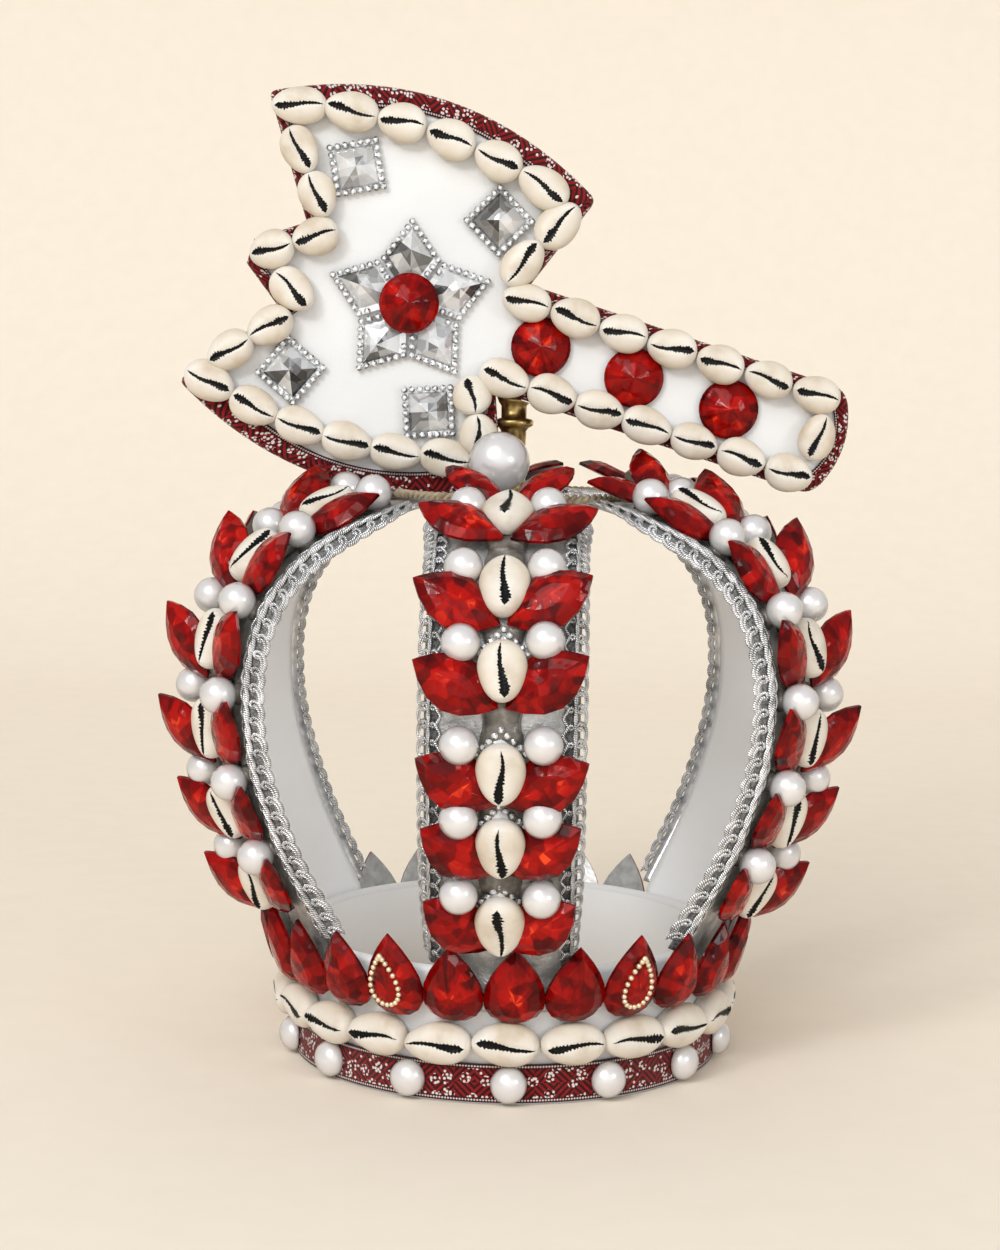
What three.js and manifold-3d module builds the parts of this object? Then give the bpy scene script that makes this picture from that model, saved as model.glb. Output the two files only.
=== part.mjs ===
// Orisha crown: a jewelled cage of six arched strips on a covered band, with a double axe on top.
// Millimetres, +Z up, the front toward -Y. The origin is the centre of the band on the floor.
import * as THREE from 'three';
import { mergeVertices } from 'three/addons/utils/BufferGeometryUtils.js';
import { ConvexGeometry } from 'three/addons/geometries/ConvexGeometry.js';
import Module from 'manifold-3d';

const wasm = await Module();
wasm.setup();

// Fits and shares
const seatGap = 0.3;
const glueDepth = 0.4;
const cutOverrun = 3;
const halfShare = 0.5;
const quarterTurn = Math.PI / 2;
const cowrieWaistShare = 0.45;

// Band
const bandRadius = 71.6;
const bandHeight = 43;
const bandSides = 48;
const hoopThickness = 2.4;
const bandCoverThickness = 0.9;
const ribbonThickness = 0.8;
const ribbonBottom = 0.8;
const ribbonHeight = 12.4;

// Trim round the band
const bandPearlCount = 14;
const bandPearlDiameter = 11.8;
const bandPearlTurn = 0.9;
const bandCowrieCount = 22;
const bandCowrieLevel = 21.6;
const bandCowrieWidth = 14.2;
const bandCowrieRelief = 7.8;
const dropCount = 25;
const dropTurn = 1.9;
const dropLevel = 29;
const dropLength = 25.5;
const dropThickness = 5.5;
const dropTipClearance = 2.1;

// Arches
const archAzimuths = {
  front: -1.5,
  right_front: 64,
  right_back: 118,
  back: 183,
  left_back: 244,
  left_front: 295,
};
const bladeArches = ['left_back', 'left_front'];
const stripWidth = 42;
const stripThickness = 1.2;
const stripLateralSteps = 3;
const stripSteps = 12;
const tabLength = 12.6;
const footSlope = 65;
const bellyRadius = 100.5;
const bellyRise = 85;
const archRise = 147;
const crownHoleRadius = 16;
const footPullShare = 0.6;
const bellyLowPullShare = 0.26;
const bellyHighPullShare = 0.77;
const topPullShare = 0.58;
const roundingLength = 40;

// Gimp braid along the strip edges
const braidWidth = 9.2;
const braidThickness = 2;
const braidDroop = 50;
const droopEnd = 20;
const droopFade = 40;
const braidStart = 3;
const shortBraidEnd = 40;
const braidTurnWidth = 4.5;

// Sprays of stones, pearls and cowries on the arches
const sprayRows = 6;
const firstRowAlong = 26;
const lastRowFromAxis = 66;
const glueBedWidth = 20;
const glueBedThickness = 4;
const glueBedEnd = 12;
const glueSink = 1.2;
const wingLength = 29;
const wingWidth = 15;
const wingThickness = 4.6;
const wingSeat = 3.2;
const topWingLength = 24;
const topWingWidth = 13.4;
const topWingAlong = 13;
const sprayPearlDiameter = 11.2;
const sprayPearlSpread = 12.6;
const sprayCowrieLength = 21;
const sprayCowrieWidth = 14.6;
const sprayCowrieRelief = 8;

// How the wings stand: on the front arch they spread, and on the others they rise beside the cowries
const frontStance = {
  lowRise: 46,
  highRise: 26,
  lift: 15,
  lowTilt: 22,
  inset: 1.2,
  drop: 8.5,
  pearlAlong: 9.4,
};
const sideStance = {
  lowRise: 56,
  highRise: 56,
  lift: 10,
  lowTilt: 10,
  inset: 4,
  drop: 12,
  pearlAlong: 11.6,
};
const topStance = { rise: 55, lift: 22, tilt: 0, inset: 1.2 };

// Top fitting
const plateRadius = 27;
const plateThickness = 2;
const plateSides = 24;
const rodRadius = 2.5;
const rodPlay = 0.3;
const rodInAxe = 22;
const rodBelowNut = 2;
const nutAcrossCorners = 13;
const nutThickness = 4;
const postFootRadius = 11;
const postFootThickness = 3;
const postNeckRadius = 4.3;
const postCollarRadius = 6.6;
const postCollarThickness = 2.4;
const postCollarShare = 0.68;
const postCupRadius = 6;
const postCupHeight = 5;
const postCupDepth = 2;
const postHeight = 37;
const postSides = 12;
const topPearlDiameter = 20;
const topPearlAlong = 26;
const topPearlAside = 4;

// Double axe
const axeTilt = 17.36;
const axeHoldAlong = 43;
const boardThickness = 10;
const axeCoverThickness = 0.8;
const axeRibbonThickness = 0.7;
const ribbonLip = 6.5;
const bladeLeft = 66;
const bladeRight = 48.5;
const upperCorner = 52;
const lowerCorner = 48.5;
const edgeBow = 15.5;
const bladeCorner = 2.6;
const handleCorner = 4.5;
const cornerShrink = 0.6;
const neckAlong = 36.3;
const neckHalfWidth = 18.6;
const notchAlong = 41;
const notchHalfWidth = 15;
const tailAlong = 56;
const tailHalfWidth = 4.2;
const handleEnd = 148;
const handleBow = 5.5;
const edgeSteps = 8;
const axeCowrieCount = 38;
const axeCowrieWidth = 12.4;
const axeCowrieRelief = 6.6;
const cuttingEdgeInset = 12.8;
const sideEdgeInset = 5.6;

// Stones on the axe
const roundStoneDiameter = 20;
const roundStoneHeight = 7;
const roundStoneGirdleShare = 0.25;
const roundStoneSides = 14;
const handleStonePlaces = [46.2, 79, 112.5];
const starRadius = 26;
const starInnerRadius = 13.4;
const starArmHeight = 5;
const starTurn = 102;
const squareStoneSide = 15.8;
const squareSides = 4;
const squareStoneHeight = 6;
const squareBorderWidth = 2.6;
const squareBorderHeight = 2.2;
const squareStonePlaces = [
  { along: -28, across: 35.4, turn: 66 },
  { along: 17.6, across: 33.6, turn: 103 },
  { along: -27.4, across: -29.2, turn: 97 },
  { along: 15.8, across: -30, turn: 61 },
];

const radians = THREE.MathUtils.degToRad;
const degrees = THREE.MathUtils.radToDeg;
const crown = new THREE.Group();

// Colours of the real materials
const materials = {
  red_stone: new THREE.MeshStandardMaterial({ color: 0xc01018, roughness: 0.12, metalness: 0 }),
  clear_stone: new THREE.MeshStandardMaterial({ color: 0xc9ced2, roughness: 0.08, metalness: 0.6 }),
  shell: new THREE.MeshStandardMaterial({ color: 0xf0e6d2, roughness: 0.35, metalness: 0 }),
  pearl: new THREE.MeshStandardMaterial({ color: 0xf2f0ee, roughness: 0.2, metalness: 0 }),
  ribbon: new THREE.MeshStandardMaterial({ color: 0x7c0c16, roughness: 0.7, metalness: 0 }),
  cloth: new THREE.MeshStandardMaterial({ color: 0xeeeeef, roughness: 0.75, metalness: 0 }),
  board: new THREE.MeshStandardMaterial({ color: 0xb08c5e, roughness: 0.8, metalness: 0 }),
  lame: new THREE.MeshStandardMaterial({ color: 0xc3c5c8, roughness: 0.4, metalness: 0.5 }),
  braid: new THREE.MeshStandardMaterial({ color: 0xb9bbbd, roughness: 0.35, metalness: 0.8 }),
  brass: new THREE.MeshStandardMaterial({ color: 0xb08d4a, roughness: 0.35, metalness: 1 }),
};

// Joins the corners of a geometry, drops triangles without area and turns its faces outward.
function closedBody(geometry) {
  geometry.deleteAttribute('normal');
  geometry.deleteAttribute('uv');
  const merged = mergeVertices(geometry);
  const corner = [new THREE.Vector3(), new THREE.Vector3(), new THREE.Vector3()];
  const kept = [];
  let volume = 0;
  for (let first = 0; first < merged.index.count; first += 3) {
    const [a, b, c] = [0, 1, 2].map((step) => merged.index.getX(first + step));
    if (a === b || b === c || c === a) continue;
    [a, b, c].forEach((vertex, place) => (
      corner[place].fromBufferAttribute(merged.attributes.position, vertex)
    ));
    volume += corner[0].dot(corner[1].cross(corner[2]));
    kept.push([a, b, c]);
  }
  const triangles = volume > 0 ? kept : kept.map(([a, b, c]) => [a, c, b]);
  merged.setIndex(triangles.flat());
  return merged;
}

function toSolid(geometry) {
  const body = closedBody(geometry.clone());
  const vertProperties = Float32Array.from(body.attributes.position.array);
  const triVerts = Uint32Array.from(body.index.array);
  return new wasm.Manifold(new wasm.Mesh({ numProp: 3, vertProperties, triVerts }));
}

function fromSolid(solid) {
  const mesh = solid.getMesh();
  const geometry = new THREE.BufferGeometry();
  geometry.setAttribute('position', new THREE.BufferAttribute(Float32Array.from(mesh.vertProperties), 3));
  geometry.setIndex(Array.from(mesh.triVerts));
  return geometry;
}

function joined(geometries) {
  return fromSolid(geometries.map(toSolid).reduce((whole, piece) => whole.add(piece)));
}

function cut(geometry, cutters) {
  const whole = toSolid(geometry);
  return fromSolid(cutters.map(toSolid).reduce((rest, cutter) => rest.subtract(cutter), whole));
}

function addPiece(parent, name, geometry, material) {
  const body = geometry.index && !geometry.attributes.normal ? geometry : closedBody(geometry);
  body.computeVertexNormals();
  const mesh = new THREE.Mesh(body, materials[material]);
  mesh.name = name;
  parent.add(mesh);
  return mesh;
}

// A turned body about Z from (radius, height) points.
function turned(points, sides) {
  return new THREE.LatheGeometry(points.map(([radius, height]) => new THREE.Vector2(radius, height)), sides)
    .rotateX(quarterTurn);
}

// A ring about Z with a rectangular section.
function hoop(innerRadius, outerRadius, bottom, top) {
  const section = [[innerRadius, bottom], [outerRadius, bottom], [outerRadius, top], [innerRadius, top]];
  return turned([...section, section[0]], bandSides);
}

// Half-round flat-backed pearl, flat side at z = 0.
function halfPearl(diameter, sides) {
  const radius = diameter * halfShare;
  const shoulder = radians(50);
  const shoulderPoint = [radius * Math.cos(shoulder), radius * Math.sin(shoulder)];
  return turned([[0, 0], [radius, 0], shoulderPoint, [0, radius]], sides);
}

// Flat-backed cut stone: the outline at z = 0 narrows to a table at the full thickness.
function cutStone(outline, thickness, tableShare, tableCentre) {
  const stone = new THREE.ExtrudeGeometry(new THREE.Shape(outline), {
    depth: thickness,
    bevelEnabled: false,
  });
  const { position } = stone.attributes;
  for (let vertex = 0; vertex < position.count; vertex += 1) {
    if (position.getZ(vertex) < thickness * halfShare) continue;
    position.setX(vertex, THREE.MathUtils.lerp(tableCentre.x, position.getX(vertex), tableShare));
    position.setY(vertex, THREE.MathUtils.lerp(tableCentre.y, position.getY(vertex), tableShare));
  }
  return closedBody(stone);
}

// Marquise stone with its inner tip at the origin and its length along +X.
function marquise(length, width, thickness) {
  const shoulderShares = [0.28, 0.72];
  const [near, far] = shoulderShares.map((share) => share * length);
  const side = width * halfShare;
  const tips = [[0, 0, 0], [length, 0, 0]];
  const shoulders = [near, far].flatMap((along) => [[along, -side, 0], [along, side, 0]]);
  const ridge = [[near, 0, thickness], [far, 0, thickness]];
  const corners = [...tips, ...shoulders, ...ridge];
  return new ConvexGeometry(corners.map((corner) => new THREE.Vector3(...corner)));
}

// Teardrop stone, round end at y = 0 and point at y = length.
function teardrop(length, width, thickness) {
  const roundSteps = 5;
  const tableShare = 0.55;
  const radius = width * halfShare;
  const outline = [new THREE.Vector2(0, length)];
  for (let step = 0; step <= roundSteps; step += 1) {
    const angle = Math.PI + (Math.PI * step) / roundSteps;
    outline.push(new THREE.Vector2(radius * Math.cos(angle), radius + radius * Math.sin(angle)));
  }
  return cutStone(outline, thickness, tableShare, new THREE.Vector2(0, radius));
}

// Cowrie with its back cut flat at z = 0, its slit up and along X.
function cowrie(length, width, relief) {
  const ringPoints = 8;
  const rings = [
    { level: 0, spread: 0.88 },
    { level: cowrieWaistShare, spread: 1 },
  ];
  const broadEndShare = 0.12;
  const slitLengthShare = 0.36;
  const slitWidthShare = 0.1;
  const slitDepthShare = 0.4;
  const vertices = [];
  const triangles = [];
  rings.forEach(({ level, spread }) => {
    for (let step = 0; step < ringPoints; step += 1) {
      const angle = (2 * Math.PI * step) / ringPoints;
      const swell = 1 + broadEndShare * Math.cos(angle);
      const across = halfShare * width * spread * Math.sin(angle) * swell;
      vertices.push(halfShare * length * spread * Math.cos(angle), across, relief * level);
    }
  });
  const ringStart = (ring) => ring * ringPoints;
  for (let ring = 0; ring + 1 < rings.length; ring += 1) {
    for (let step = 0; step < ringPoints; step += 1) {
      const [low, high] = [ringStart(ring), ringStart(ring + 1)];
      const next = (step + 1) % ringPoints;
      triangles.push([low + step, low + next, high + next], [low + step, high + next, high + step]);
    }
  }
  for (let step = 1; step + 1 < ringPoints; step += 1) triangles.push([0, step + 1, step]);
  const lips = vertices.length / 3;
  vertices.push(length * slitLengthShare, 0, relief, 0, width * slitWidthShare, relief);
  vertices.push(-length * slitLengthShare, 0, relief, 0, -width * slitWidthShare, relief);
  vertices.push(0, 0, relief * (1 - slitDepthShare));
  const [broadEnd, upperLip, narrowEnd, lowerLip, slitFloor] = [0, 1, 2, 3, 4].map((step) => lips + step);
  const top = ringStart(rings.length - 1);
  const lipOrder = [broadEnd, upperLip, narrowEnd, lowerLip];
  lipOrder.forEach((lip, quarter) => {
    const nextLip = lipOrder[(quarter + 1) % lipOrder.length];
    const [low, middle] = [top + 2 * quarter, top + 2 * quarter + 1];
    const high = top + ((2 * quarter + 2) % ringPoints);
    triangles.push([low, middle, lip], [middle, nextLip, lip], [middle, high, nextLip]);
  });
  triangles.push([broadEnd, upperLip, slitFloor], [upperLip, narrowEnd, slitFloor]);
  triangles.push([narrowEnd, lowerLip, slitFloor], [lowerLip, broadEnd, slitFloor]);
  const shell = new THREE.BufferGeometry();
  shell.setAttribute('position', new THREE.Float32BufferAttribute(vertices, 3));
  shell.setIndex(triangles.flat());
  return closedBody(shell);
}

// Turns a piece made with its back at z = 0 and +Y up so that it sits on the band at a radius and level.
function onBand(geometry, azimuth, radius, level, lean = 0) {
  return geometry.clone()
    .rotateX(quarterTurn + radians(lean))
    .translate(0, -radius, level)
    .rotateZ(radians(azimuth));
}

const ringOf = (count, make) => Array.from({ length: count }, (_, step) => make((360 * step) / count));

// How far a round wall bulges past a straight line of the given width laid against it.
const bulge = (width, radius) => radius * (1 - Math.cos(width / (2 * radius)));

// The band: a hoop in a wrapped cover, with a ribbon round its foot
const coverInnerWall = bandRadius - bandCoverThickness * 2 - hoopThickness - seatGap * 2;
const hoopOuterRadius = bandRadius - bandCoverThickness - seatGap;
const hoopTop = bandHeight - bandCoverThickness - seatGap;
const coverSection = [
  [coverInnerWall, 0],
  [coverInnerWall + bandCoverThickness, 0],
  [coverInnerWall + bandCoverThickness, bandHeight - bandCoverThickness],
  [bandRadius - bandCoverThickness, bandHeight - bandCoverThickness],
  [bandRadius - bandCoverThickness, 0],
  [bandRadius, 0],
  [bandRadius, bandHeight],
  [coverInnerWall, bandHeight],
];
const ribbonInnerRadius = bandRadius + seatGap;
const ribbonOuterRadius = ribbonInnerRadius + ribbonThickness;
addPiece(crown, 'band_hoop', hoop(hoopOuterRadius - hoopThickness, hoopOuterRadius, 0, hoopTop), 'board');
addPiece(crown, 'band_cover', turned([...coverSection, coverSection[0]], bandSides), 'cloth');
const ribbonTop = ribbonBottom + ribbonHeight;
const ribbonHoop = hoop(ribbonInnerRadius, ribbonOuterRadius, ribbonBottom, ribbonTop);
addPiece(crown, 'band_ribbon', ribbonHoop, 'ribbon');

const bandPearlSides = 8;
const bandPearl = halfPearl(bandPearlDiameter, bandPearlSides);
const bandPearlLevel = ribbonBottom + ribbonHeight * halfShare;
for (let step = 0; step < bandPearlCount; step += 1) {
  const azimuth = bandPearlTurn + (360 * step) / bandPearlCount;
  const name = `band_pearl_${String(step + 1).padStart(2, '0')}`;
  addPiece(crown, name, onBand(bandPearl, azimuth, ribbonOuterRadius + seatGap, bandPearlLevel), 'pearl');
}

const halfTurnOf = (count) => Math.tan(Math.PI / count);
const bandCowrieReach = bandRadius + seatGap + bandCowrieRelief * cowrieWaistShare;
const bandCowrieLength = 2 * (bandCowrieReach * halfTurnOf(bandCowrieCount) + glueDepth);
const bandCowrie = cowrie(bandCowrieLength, bandCowrieWidth, bandCowrieRelief);
const cowrieRing = ringOf(bandCowrieCount, (azimuth) => (
  onBand(bandCowrie, azimuth, bandRadius + seatGap, bandCowrieLevel)
));
addPiece(crown, 'band_cowries', joined(cowrieRing), 'shell');

// The strip feet lie on the band and the teardrops lie on the strip feet
const facetBulge = bulge(stripWidth / stripLateralSteps, bandRadius);
const footRadius = bandRadius + seatGap + facetBulge + stripThickness * halfShare;
const dropSeatRadius = footRadius + stripThickness * halfShare + seatGap;
const dropSpacing = 2 * dropSeatRadius * halfTurnOf(dropCount);
// They lean out as far as the arches and their braid do at the level of the drops' tips
const dropRise = dropLength * Math.sin(radians(footSlope));
const archReach = (dropLevel + dropRise - bandHeight) / Math.tan(radians(footSlope));
const dropLean = degrees(Math.atan((archReach + braidThickness + dropTipClearance) / dropRise));
const dropLeanShare = Math.sin(radians(dropLean)) * halfTurnOf(dropCount);
const dropWidth = (dropSpacing + glueDepth) / (1 - dropLeanShare);
const drop = teardrop(dropLength, dropWidth, dropThickness);
const dropRing = ringOf(dropCount, (azimuth) => (
  onBand(drop, azimuth + dropTurn, dropSeatRadius, dropLevel, dropLean)
));
addPiece(crown, 'band_teardrops', joined(dropRing), 'red_stone');

// The arch profile in (radius, height), from the foot of the tab to the axis of the crown
const foot = new THREE.Vector2(footRadius, bandHeight);
const belly = new THREE.Vector2(bellyRadius, bandHeight + bellyRise);
const summit = new THREE.Vector2(0, bandHeight + archRise);
const footPull = foot.distanceTo(belly) * footPullShare;
const footDirection = new THREE.Vector2(Math.cos(radians(footSlope)), Math.sin(radians(footSlope)));
const archPath = new THREE.CurvePath();
archPath.add(new THREE.LineCurve(new THREE.Vector2(footRadius, bandHeight - tabLength), foot));
archPath.add(new THREE.CubicBezierCurve(
  foot,
  foot.clone().addScaledVector(footDirection, footPull),
  new THREE.Vector2(bellyRadius, belly.y - bellyRise * bellyLowPullShare),
  belly,
));
archPath.add(new THREE.CubicBezierCurve(
  belly,
  new THREE.Vector2(bellyRadius, belly.y + (archRise - bellyRise) * bellyHighPullShare),
  new THREE.Vector2(bellyRadius * topPullShare, summit.y),
  summit,
));
const pathLength = archPath.getLength();
const stripEnd = pathLength - tabLength - crownHoleRadius;

// The profile's point and its outward normal at a length along the arch, counted from the band's rim.
function profileAt(along) {
  const share = THREE.MathUtils.clamp((along + tabLength) / pathLength, 0, 1);
  const point = archPath.getPoint(share);
  const tangent = archPath.getTangent(share);
  return { point, tangent, normal: new THREE.Vector2(tangent.y, -tangent.x) };
}

// Maps a place on the front arch (across, along, height over the strip's middle) into the crown.
// Near the foot the strip curves round the band, and above it the strip is flat across.
function onArch(across, along, height) {
  const { point, normal } = profileAt(along);
  const radius = point.x + normal.x * height;
  const rounding = 1 - THREE.MathUtils.smoothstep(along, 0, roundingLength);
  const sweep = across / point.x;
  const side = THREE.MathUtils.lerp(across, radius * Math.sin(sweep), rounding);
  const out = THREE.MathUtils.lerp(radius, radius * Math.cos(sweep), rounding);
  return new THREE.Vector3(side, -out, point.y + normal.y * height);
}

// The frame of the front arch at a length along it, for pieces that keep their own shape.
function archFrame(along, height) {
  const { tangent, normal } = profileAt(along);
  const frame = new THREE.Matrix4().makeBasis(
    new THREE.Vector3(1, 0, 0),
    new THREE.Vector3(0, -tangent.x, tangent.y),
    new THREE.Vector3(0, -normal.x, normal.y),
  );
  return frame.setPosition(onArch(0, along, height));
}

function stationsBetween(from, to) {
  const stations = [from];
  for (let step = 0; step <= stripSteps; step += 1) {
    const mark = (stripEnd * step) / stripSteps;
    if (mark > from + seatGap && mark < to - seatGap) stations.push(mark);
  }
  return [...stations, to];
}

// A bar that follows the arch: left and right give its edges across at each length along, and place maps
// the bar into the crown.
function bentBar({ from, to, left, right, under, over, lateralSteps, place = onArch }) {
  const stations = stationsBetween(from, to);
  const bar = new THREE.BoxGeometry(1, 1, 1, lateralSteps, stations.length - 1, 1);
  const { position } = bar.attributes;
  for (let vertex = 0; vertex < position.count; vertex += 1) {
    const along = stations[Math.round((position.getY(vertex) + halfShare) * (stations.length - 1))];
    const across = THREE.MathUtils.lerp(left(along), right(along), position.getX(vertex) + halfShare);
    const height = THREE.MathUtils.lerp(under, over, position.getZ(vertex) + halfShare);
    position.setXYZ(vertex, ...place(across, along, height).toArray());
  }
  return closedBody(bar);
}

// The strips narrow toward the top, where neighbours meet at the smallest angle between them
const azimuthList = Object.values(archAzimuths);
const archAngles = azimuthList.map((azimuth, index) => (
  (azimuthList[(index + 1) % azimuthList.length] - azimuth + 360) % 360
));
const meetingSlope = Math.tan(radians(Math.min(...archAngles) * halfShare));
const foldGap = seatGap * 2;
const edgeClearance = foldGap + braidWidth * halfShare + seatGap * 2;
function stripHalfWidth(along) {
  return Math.min(stripWidth * halfShare, profileAt(along).point.x * meetingSlope - edgeClearance);
}

const stripOuter = stripThickness * halfShare;
const strip = bentBar({
  from: -tabLength,
  to: stripEnd,
  left: (along) => -stripHalfWidth(along),
  right: stripHalfWidth,
  under: -stripOuter,
  over: stripOuter,
  lateralSteps: stripLateralSteps,
});

const braidUnder = stripOuter + seatGap;
const braidOver = braidUnder + braidThickness;
const braidFold = (along) => stripHalfWidth(along) + foldGap;
const braidOuterEdge = (along) => braidFold(along) + braidWidth * halfShare;
const braidInnerEdge = (along) => braidFold(along) - braidWidth * halfShare;

// The outer half of the braid droops past the strip's edge, and lies flat again toward the plate.
function onBraid(across, along, height) {
  const fold = THREE.MathUtils.clamp(across, -braidFold(along), braidFold(along));
  const past = Math.abs(across - fold);
  const fadeStart = stripEnd - droopEnd - droopFade;
  const flatness = THREE.MathUtils.smoothstep(along, fadeStart, fadeStart + droopFade);
  const droop = radians(braidDroop) * (1 - flatness);
  return onArch(fold + (across - fold) * Math.cos(droop), along, height - past * Math.sin(droop));
}

function makeBraid(end) {
  const span = { from: braidStart, to: end, under: braidUnder, over: braidOver, place: onBraid };
  const folded = { ...span, lateralSteps: 2 };
  const mirrored = (edge) => (along) => -edge(along);
  const across = { left: mirrored(braidFold), right: braidFold, lateralSteps: 1 };
  return joined([
    bentBar({ ...folded, left: braidInnerEdge, right: braidOuterEdge }),
    bentBar({ ...folded, left: mirrored(braidOuterEdge), right: mirrored(braidInnerEdge) }),
    bentBar({ ...span, ...across, from: end - braidTurnWidth }),
  ]);
}

// One spray: cowries over pairs of marquise wings, with a pair of pearls between rows, on a glue bed
const lastRow = pathLength - tabLength - lastRowFromAxis;
const rowPitch = (lastRow - firstRowAlong) / (sprayRows - 1);
const bedUnder = stripOuter + seatGap + bulge(glueBedWidth, footRadius);
const bedOver = bedUnder + glueBedThickness;
const sprayPearlSides = 6;
const wing = marquise(wingLength, wingWidth, wingThickness);
const topWing = marquise(topWingLength, topWingWidth, wingThickness);
const sprayPearl = halfPearl(sprayPearlDiameter, sprayPearlSides);
const sprayCowrie = cowrie(sprayCowrieLength, sprayCowrieWidth, sprayCowrieRelief).rotateZ(quarterTurn);

// A right and a left wing: tilt turns the face up, lift raises the tip and rise turns the tip up the arch.
function wingPair(stone, { rise, lift, tilt, inset }, along) {
  return [1, -1].map((side) => stone.clone()
    .rotateX(-side * radians(tilt))
    .rotateY(-radians(lift))
    .rotateZ(side > 0 ? radians(rise) : Math.PI - radians(rise))
    .translate(side * inset, 0, 0)
    .applyMatrix4(archFrame(along, bedUnder + wingSeat)));
}

function makeSpray(stance, withTopWings) {
  const pieces = [];
  pieces.push(bentBar({
    from: firstRowAlong - glueBedEnd,
    to: lastRow + topWingAlong + glueBedEnd * halfShare,
    left: () => -glueBedWidth * halfShare,
    right: () => glueBedWidth * halfShare,
    under: bedUnder,
    over: bedOver,
    lateralSteps: 1,
  }));
  for (let row = 0; row < sprayRows; row += 1) {
    const along = firstRowAlong + rowPitch * row;
    const rowShare = row / (sprayRows - 1);
    const rise = THREE.MathUtils.lerp(stance.lowRise, stance.highRise, rowShare);
    const tilt = THREE.MathUtils.lerp(stance.lowTilt, 0, rowShare);
    pieces.push(...wingPair(wing, { ...stance, rise, tilt }, along - stance.drop));
    pieces.push(sprayCowrie.clone().applyMatrix4(archFrame(along, bedOver - glueSink)));
    [-1, 1].forEach((side) => pieces.push(sprayPearl.clone()
      .translate(side * sprayPearlSpread, 0, -glueSink)
      .applyMatrix4(archFrame(along + stance.pearlAlong, bedOver))));
  }
  if (withTopWings) pieces.push(...wingPair(topWing, topStance, lastRow + topWingAlong));
  return joined(pieces);
}

// The arches under the blade have shorter trim, which leaves room for its edge
const fullBraid = makeBraid(stripEnd);
const shortBraid = makeBraid(pathLength - tabLength - shortBraidEnd);
Object.entries(archAzimuths).forEach(([place, azimuth]) => {
  const arch = new THREE.Group();
  arch.rotation.z = radians(azimuth);
  addPiece(arch, `arch_strip_${place}`, strip, 'lame');
  const underBlade = bladeArches.includes(place);
  const stance = place === 'front' ? frontStance : sideStance;
  addPiece(arch, `arch_braid_${place}`, underBlade ? shortBraid : fullBraid, 'braid');
  addPiece(arch, `arch_spray_${place}`, makeSpray(stance, !underBlade), 'red_stone');
  crown.add(arch);
});

// The plate under the strip ends, with the nut, rod and post that carry the axe
const plateEdge = profileAt(pathLength - tabLength - plateRadius);
const plateTop = plateEdge.point.y - stripOuter - seatGap;
const boreRadius = rodRadius + rodPlay;
const washerSection = (outerRadius, bottom, top) => [
  [boreRadius, bottom],
  [outerRadius, bottom],
  [outerRadius, top],
  [boreRadius, top],
  [boreRadius, bottom],
];
const plateBottom = plateTop - plateThickness;
addPiece(crown, 'top_plate', turned(washerSection(plateRadius, plateBottom, plateTop), plateSides), 'lame');
const nutTop = plateBottom - seatGap;
const nutBottom = nutTop - nutThickness;

const postBottom = plateTop + seatGap;
const postTop = postBottom + postHeight;
const collarLevel = postBottom + postHeight * postCollarShare;
const postBody = turned([
  [boreRadius, postBottom],
  [postFootRadius, postBottom],
  [postFootRadius, postBottom + postFootThickness * halfShare],
  [postNeckRadius, postBottom + postFootThickness],
  [postNeckRadius, collarLevel],
  [postCollarRadius, collarLevel],
  [postCollarRadius, collarLevel + postCollarThickness],
  [postNeckRadius, collarLevel + postCollarThickness],
  [postNeckRadius, postTop - postCupHeight],
  [postCupRadius, postTop],
  [boreRadius, postTop],
  [boreRadius, postBottom],
], postSides);

// The axe outline, corner by corner from the upper left, with the bow and the cowrie inset of each side
const axeSides = [
  { from: [-bladeLeft, upperCorner], bow: edgeBow, inset: cuttingEdgeInset, corner: bladeCorner },
  { from: [bladeRight, upperCorner], bow: 0, inset: sideEdgeInset, corner: bladeCorner },
  { from: [neckAlong, neckHalfWidth], bow: 0, inset: sideEdgeInset, corner: 0 },
  { from: [handleEnd, neckHalfWidth], bow: handleBow, inset: sideEdgeInset, corner: handleCorner },
  { from: [handleEnd, -neckHalfWidth], bow: 0, inset: sideEdgeInset, corner: handleCorner },
  { from: [neckAlong, -neckHalfWidth], bow: 0, inset: sideEdgeInset, corner: 0 },
  { from: [bladeRight, -lowerCorner], bow: edgeBow, inset: cuttingEdgeInset, corner: bladeCorner },
  { from: [-bladeLeft, -lowerCorner], bow: 0, inset: sideEdgeInset, corner: bladeCorner },
  { from: [-notchAlong, -notchHalfWidth], bow: 0, inset: sideEdgeInset, corner: 0 },
  { from: [-tailAlong, -tailHalfWidth], bow: 0, inset: sideEdgeInset, corner: 0 },
  { from: [-tailAlong, tailHalfWidth], bow: 0, inset: sideEdgeInset, corner: 0 },
  { from: [-notchAlong, notchHalfWidth], bow: 0, inset: sideEdgeInset, corner: 0 },
];

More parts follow.
